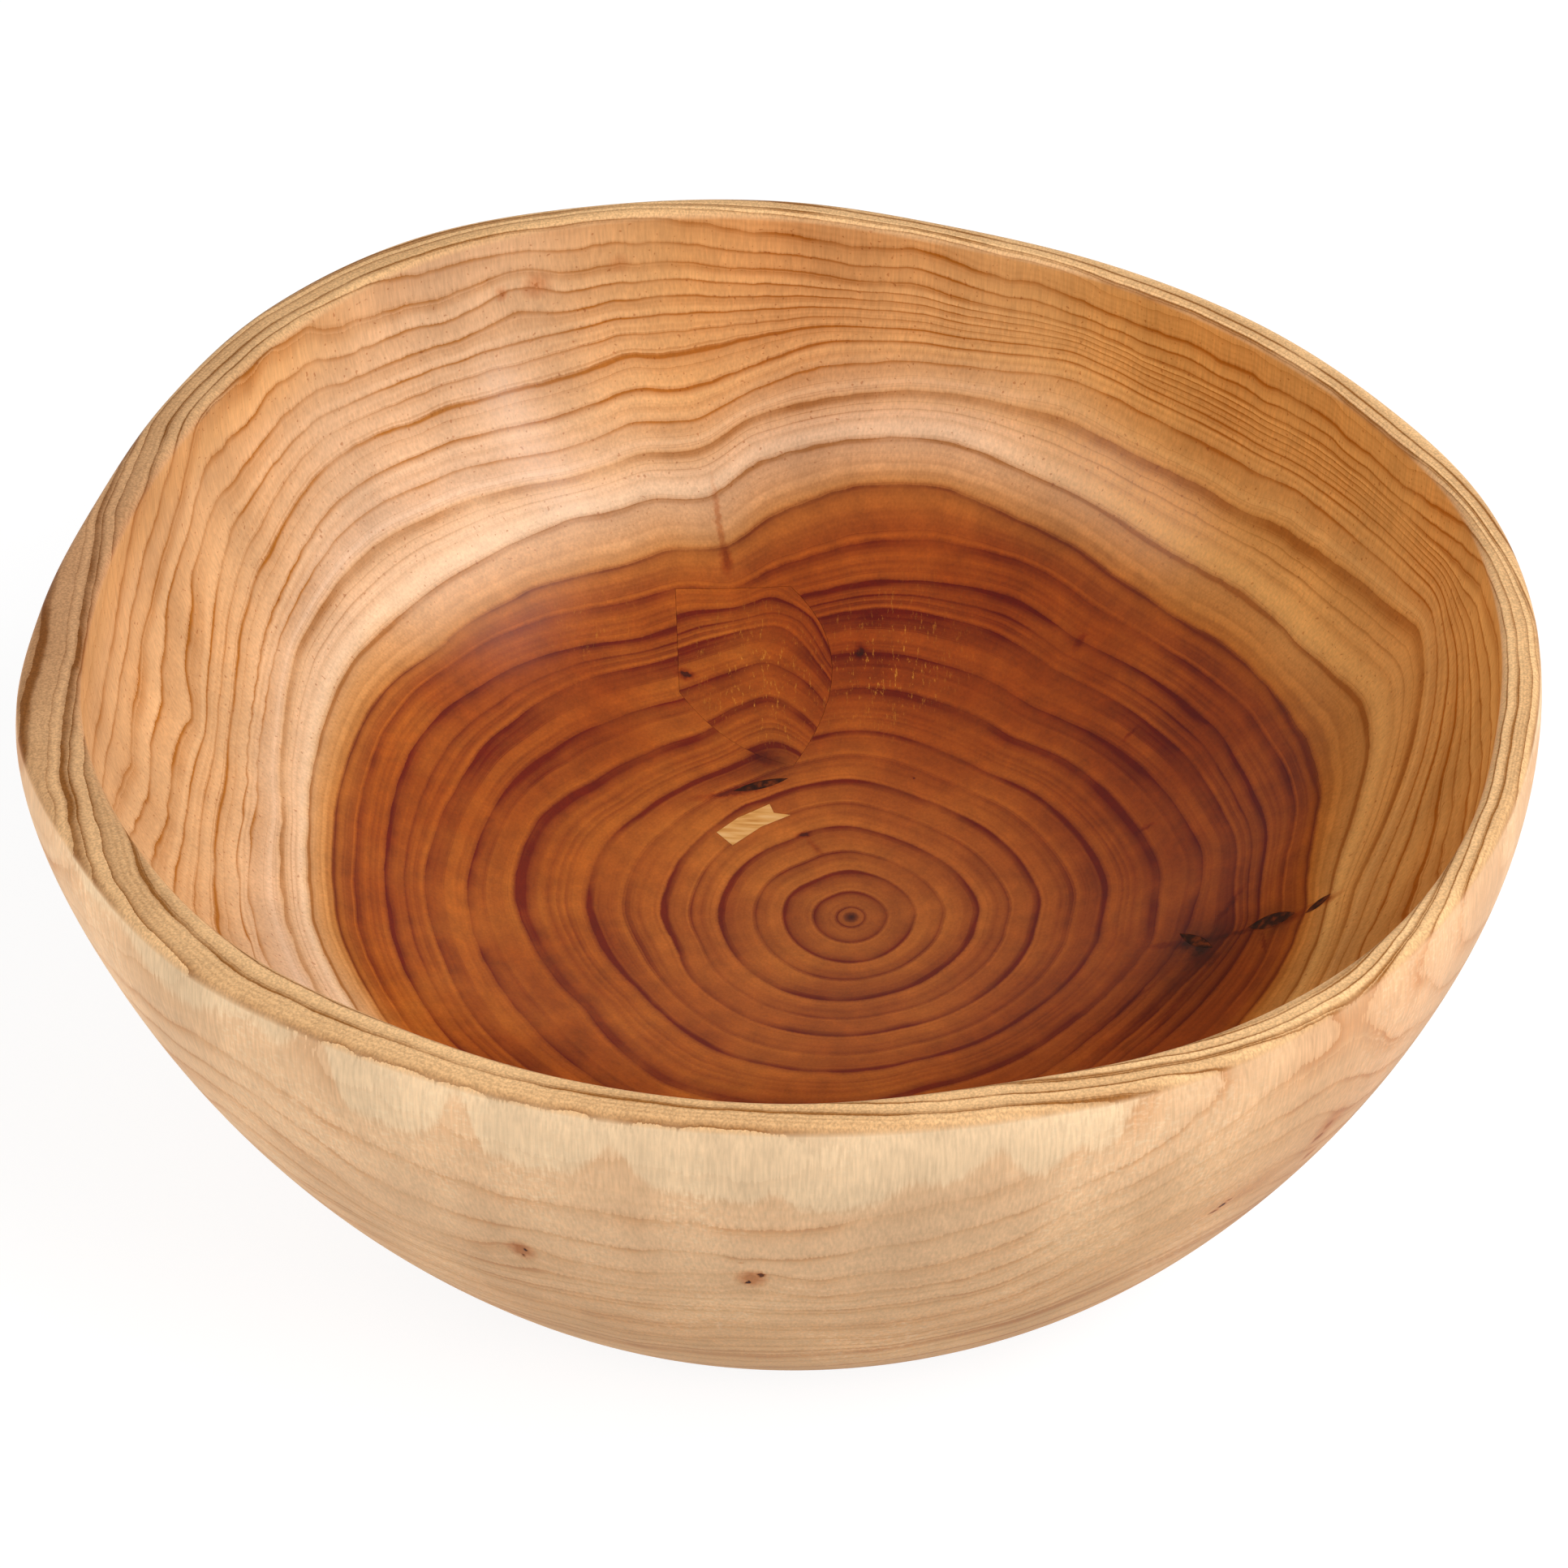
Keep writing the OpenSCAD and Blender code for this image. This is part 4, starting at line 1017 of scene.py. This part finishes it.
def dark_filler(name):
    """Stopping of resin and sawdust, scraped level: nearly black, with brown grains in it."""
    material, tree = new_tree(name)
    place = add(tree, "TexCoord", out="Object")
    grit = add(tree, "TexNoise", {"Vector": place, "Scale": 1 / (GRIT * MM), "Detail": 4.0})
    colour = add(tree, "ValToRGB", {"Fac": grit}, stops=[(at, paint(code)) for at, code in FILLER_TONES])
    shader = add(tree, "BsdfPrincipled", {"Base Color": colour, "Roughness": 0.5, "Specular IOR Level": 0.1})
    add(tree, "OutputMaterial", {"Surface": shader})
    return material


# Pieces
# Edges that turn by more than this many degrees stay crisp
CRISP_ANGLE = 40.0

bowl = blank()
cut_pockets(bowl)
pieces = {"bowl_body": bowl}
for node, (outline, a, b, turn, angle, place, depth, step) in REPAIRS.items():
    edge = outline(a - GLUE_GAP, b - GLUE_GAP)
    pieces[node] = let_in(node + "_wood", edge, turn, angle, place, depth - GLUE_GAP, step)
for node, piece in pieces.items():
    piece.data.shade_smooth()
    piece.data.set_sharp_from_angle(angle=np.radians(CRISP_ANGLE))
    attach(piece, "root")
    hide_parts(node)
give_grain(bowl)
give_grain(pieces["wedge_patch"], wedge=True)
filler = dark_filler("resin_stopping")
finishes = {
    "bowl_body": (fir("lacquered_fir", *LACQUER), "wood"),
    "wedge_patch": (fir("let_in_fir", *LACQUER), "patch_wood"),
    "sliver_patch": (pale_fir("pale_fir_splinter"), "sliver_wood"),
}
for node, piece in pieces.items():
    material, slot = finishes.get(node, (filler, "filler"))
    piece.data.materials.append(material)
bowl.data.materials.append(fir("waxed_fir", *WAX))
split_faces(bowl)


# Camera, floor and light
# What the camera looks at, in mm, its elevation and field of view in degrees and its distance in mm
CAMERA_AIM = Vector((0.09, -62.96, 130.0)) * MM
CAMERA_ELEVATION, CAMERA_DISTANCE, CAMERA_FIELD = 38.5, 1036.0, 18.0
# The paper floor: columns round it, radii of its rows, drop below the foot and thickness in mm
PAPER_COLUMNS, PAPER_RADII, PAPER_DROP, PAPER_T = 96, (400.0, 1400.0, 3000.0), 0.2, 10.0
# How bright the paper looks of itself, and the strength of the even light and of the white behind it all
PAPER_GLOW, EVEN_LIGHT, WHITE = 0.86, 0.32, 1.0
# Soft boxes: azimuth and elevation in degrees, distance, width and height in metres, watts
SOFT_BOXES = {
    "key": (-8, 54, 1.6, 0.7, 0.7, 9.0),
    "window": (-42, 36, 1.6, 0.18, 1.2, 15.5),
    "fill": (-158, 25, 1.8, 0.8, 0.6, 7.5),
    "low_fill": (205, 10, 1.8, 0.8, 0.4, 8.5),
}


def make_camera():
    """A camera at the photograph's angle: straight ahead, looking down into the bowl."""
    camera = bpy.data.objects.new("camera", bpy.data.cameras.new("camera"))
    bpy.context.scene.collection.objects.link(camera)
    tilt = np.radians(CAMERA_ELEVATION)
    back = Vector((0, -np.cos(tilt), np.sin(tilt)))
    camera.location = CAMERA_AIM + back * CAMERA_DISTANCE * MM
    camera.rotation_mode = "QUATERNION"
    camera.rotation_quaternion = (-back).to_track_quat("-Z", "Y")
    camera.data.lens = camera.data.sensor_width / 2 / np.tan(np.radians(CAMERA_FIELD / 2))
    bpy.context.scene.camera = camera


def showing_ray(tree):
    """1 for the rays that show the background as white: straight to the camera, mirrored or through glass."""
    path = add(tree, "LightPath").node.outputs
    ray = add(tree, "Math", {0: path["Is Camera Ray"], 1: path["Is Glossy Ray"]}, operation="MAXIMUM")
    return add(tree, "Math", {0: ray, 1: path["Is Transmission Ray"]}, operation="MAXIMUM")


def make_floor():
    """A round floor of matt white paper, bright enough to read as white, that takes the bowl's shadow."""
    angle = np.radians(np.arange(PAPER_COLUMNS) * 360 / PAPER_COLUMNS)
    spread = np.array(PAPER_RADII)[:, None]
    rows = np.stack(np.broadcast_arrays(spread * np.cos(angle), spread * np.sin(angle), -PAPER_DROP), -1)
    under = rows[::-1] - [0, 0, PAPER_T]
    bottom, top = (0, 0, -PAPER_DROP - PAPER_T), (0, 0, -PAPER_DROP)
    floor = closed_mesh("floor", np.concatenate([rows, under])[::-1], bottom, top)
    material, tree = new_tree("white_paper")
    matt = add(tree, "BsdfDiffuse", {"Color": paint("#C0C0C0")})
    white = add(tree, "BsdfDiffuse", {"Color": paint("#808080")})
    glow = add(tree, "Emission", {"Strength": PAPER_GLOW})
    lift = add(tree, "AddShader", {0: white, 1: glow})
    seen = add(tree, "MixShader", {0: showing_ray(tree), 1: matt, 2: lift})
    add(tree, "OutputMaterial", {"Surface": seen})
    floor.data.materials.append(material)


def make_light(name, azimuth, elevation, distance, width, height, watts):
    """A soft box that faces the bowl from an azimuth and elevation in degrees, sizes in metres."""
    lamp = bpy.data.lights.new(name, "AREA")
    lamp.shape, lamp.size, lamp.size_y, lamp.energy = "RECTANGLE", width, height, watts
    light = bpy.data.objects.new(name, lamp)
    bpy.context.scene.collection.objects.link(light)
    turn, tilt = np.radians(azimuth), np.radians(elevation)
    way = Vector((np.cos(tilt) * np.cos(turn), np.cos(tilt) * np.sin(turn), np.sin(tilt)))
    light.location = way * distance
    light.rotation_mode = "QUATERNION"
    light.rotation_quaternion = way.to_track_quat("Z", "Y")


def make_world():
    """Even white light all round, and plain white where the camera looks past the floor."""
    world = bpy.data.worlds.new("studio")
    bpy.context.scene.world = world
    world.use_nodes = True
    tree = world.node_tree
    tree.nodes.clear()
    light = add(tree, "Background", {"Color": (1, 1, 1, 1), "Strength": EVEN_LIGHT})
    white = add(tree, "Background", {"Color": (1, 1, 1, 1), "Strength": WHITE})
    shown = add(tree, "MixShader", {0: showing_ray(tree), 1: light, 2: white})
    add(tree, "OutputWorld", {"Surface": shown})


make_camera()
make_floor()
for name, box in SOFT_BOXES.items():
    make_light(name, *box)
make_world()
bpy.context.scene.view_settings.view_transform = "Standard"
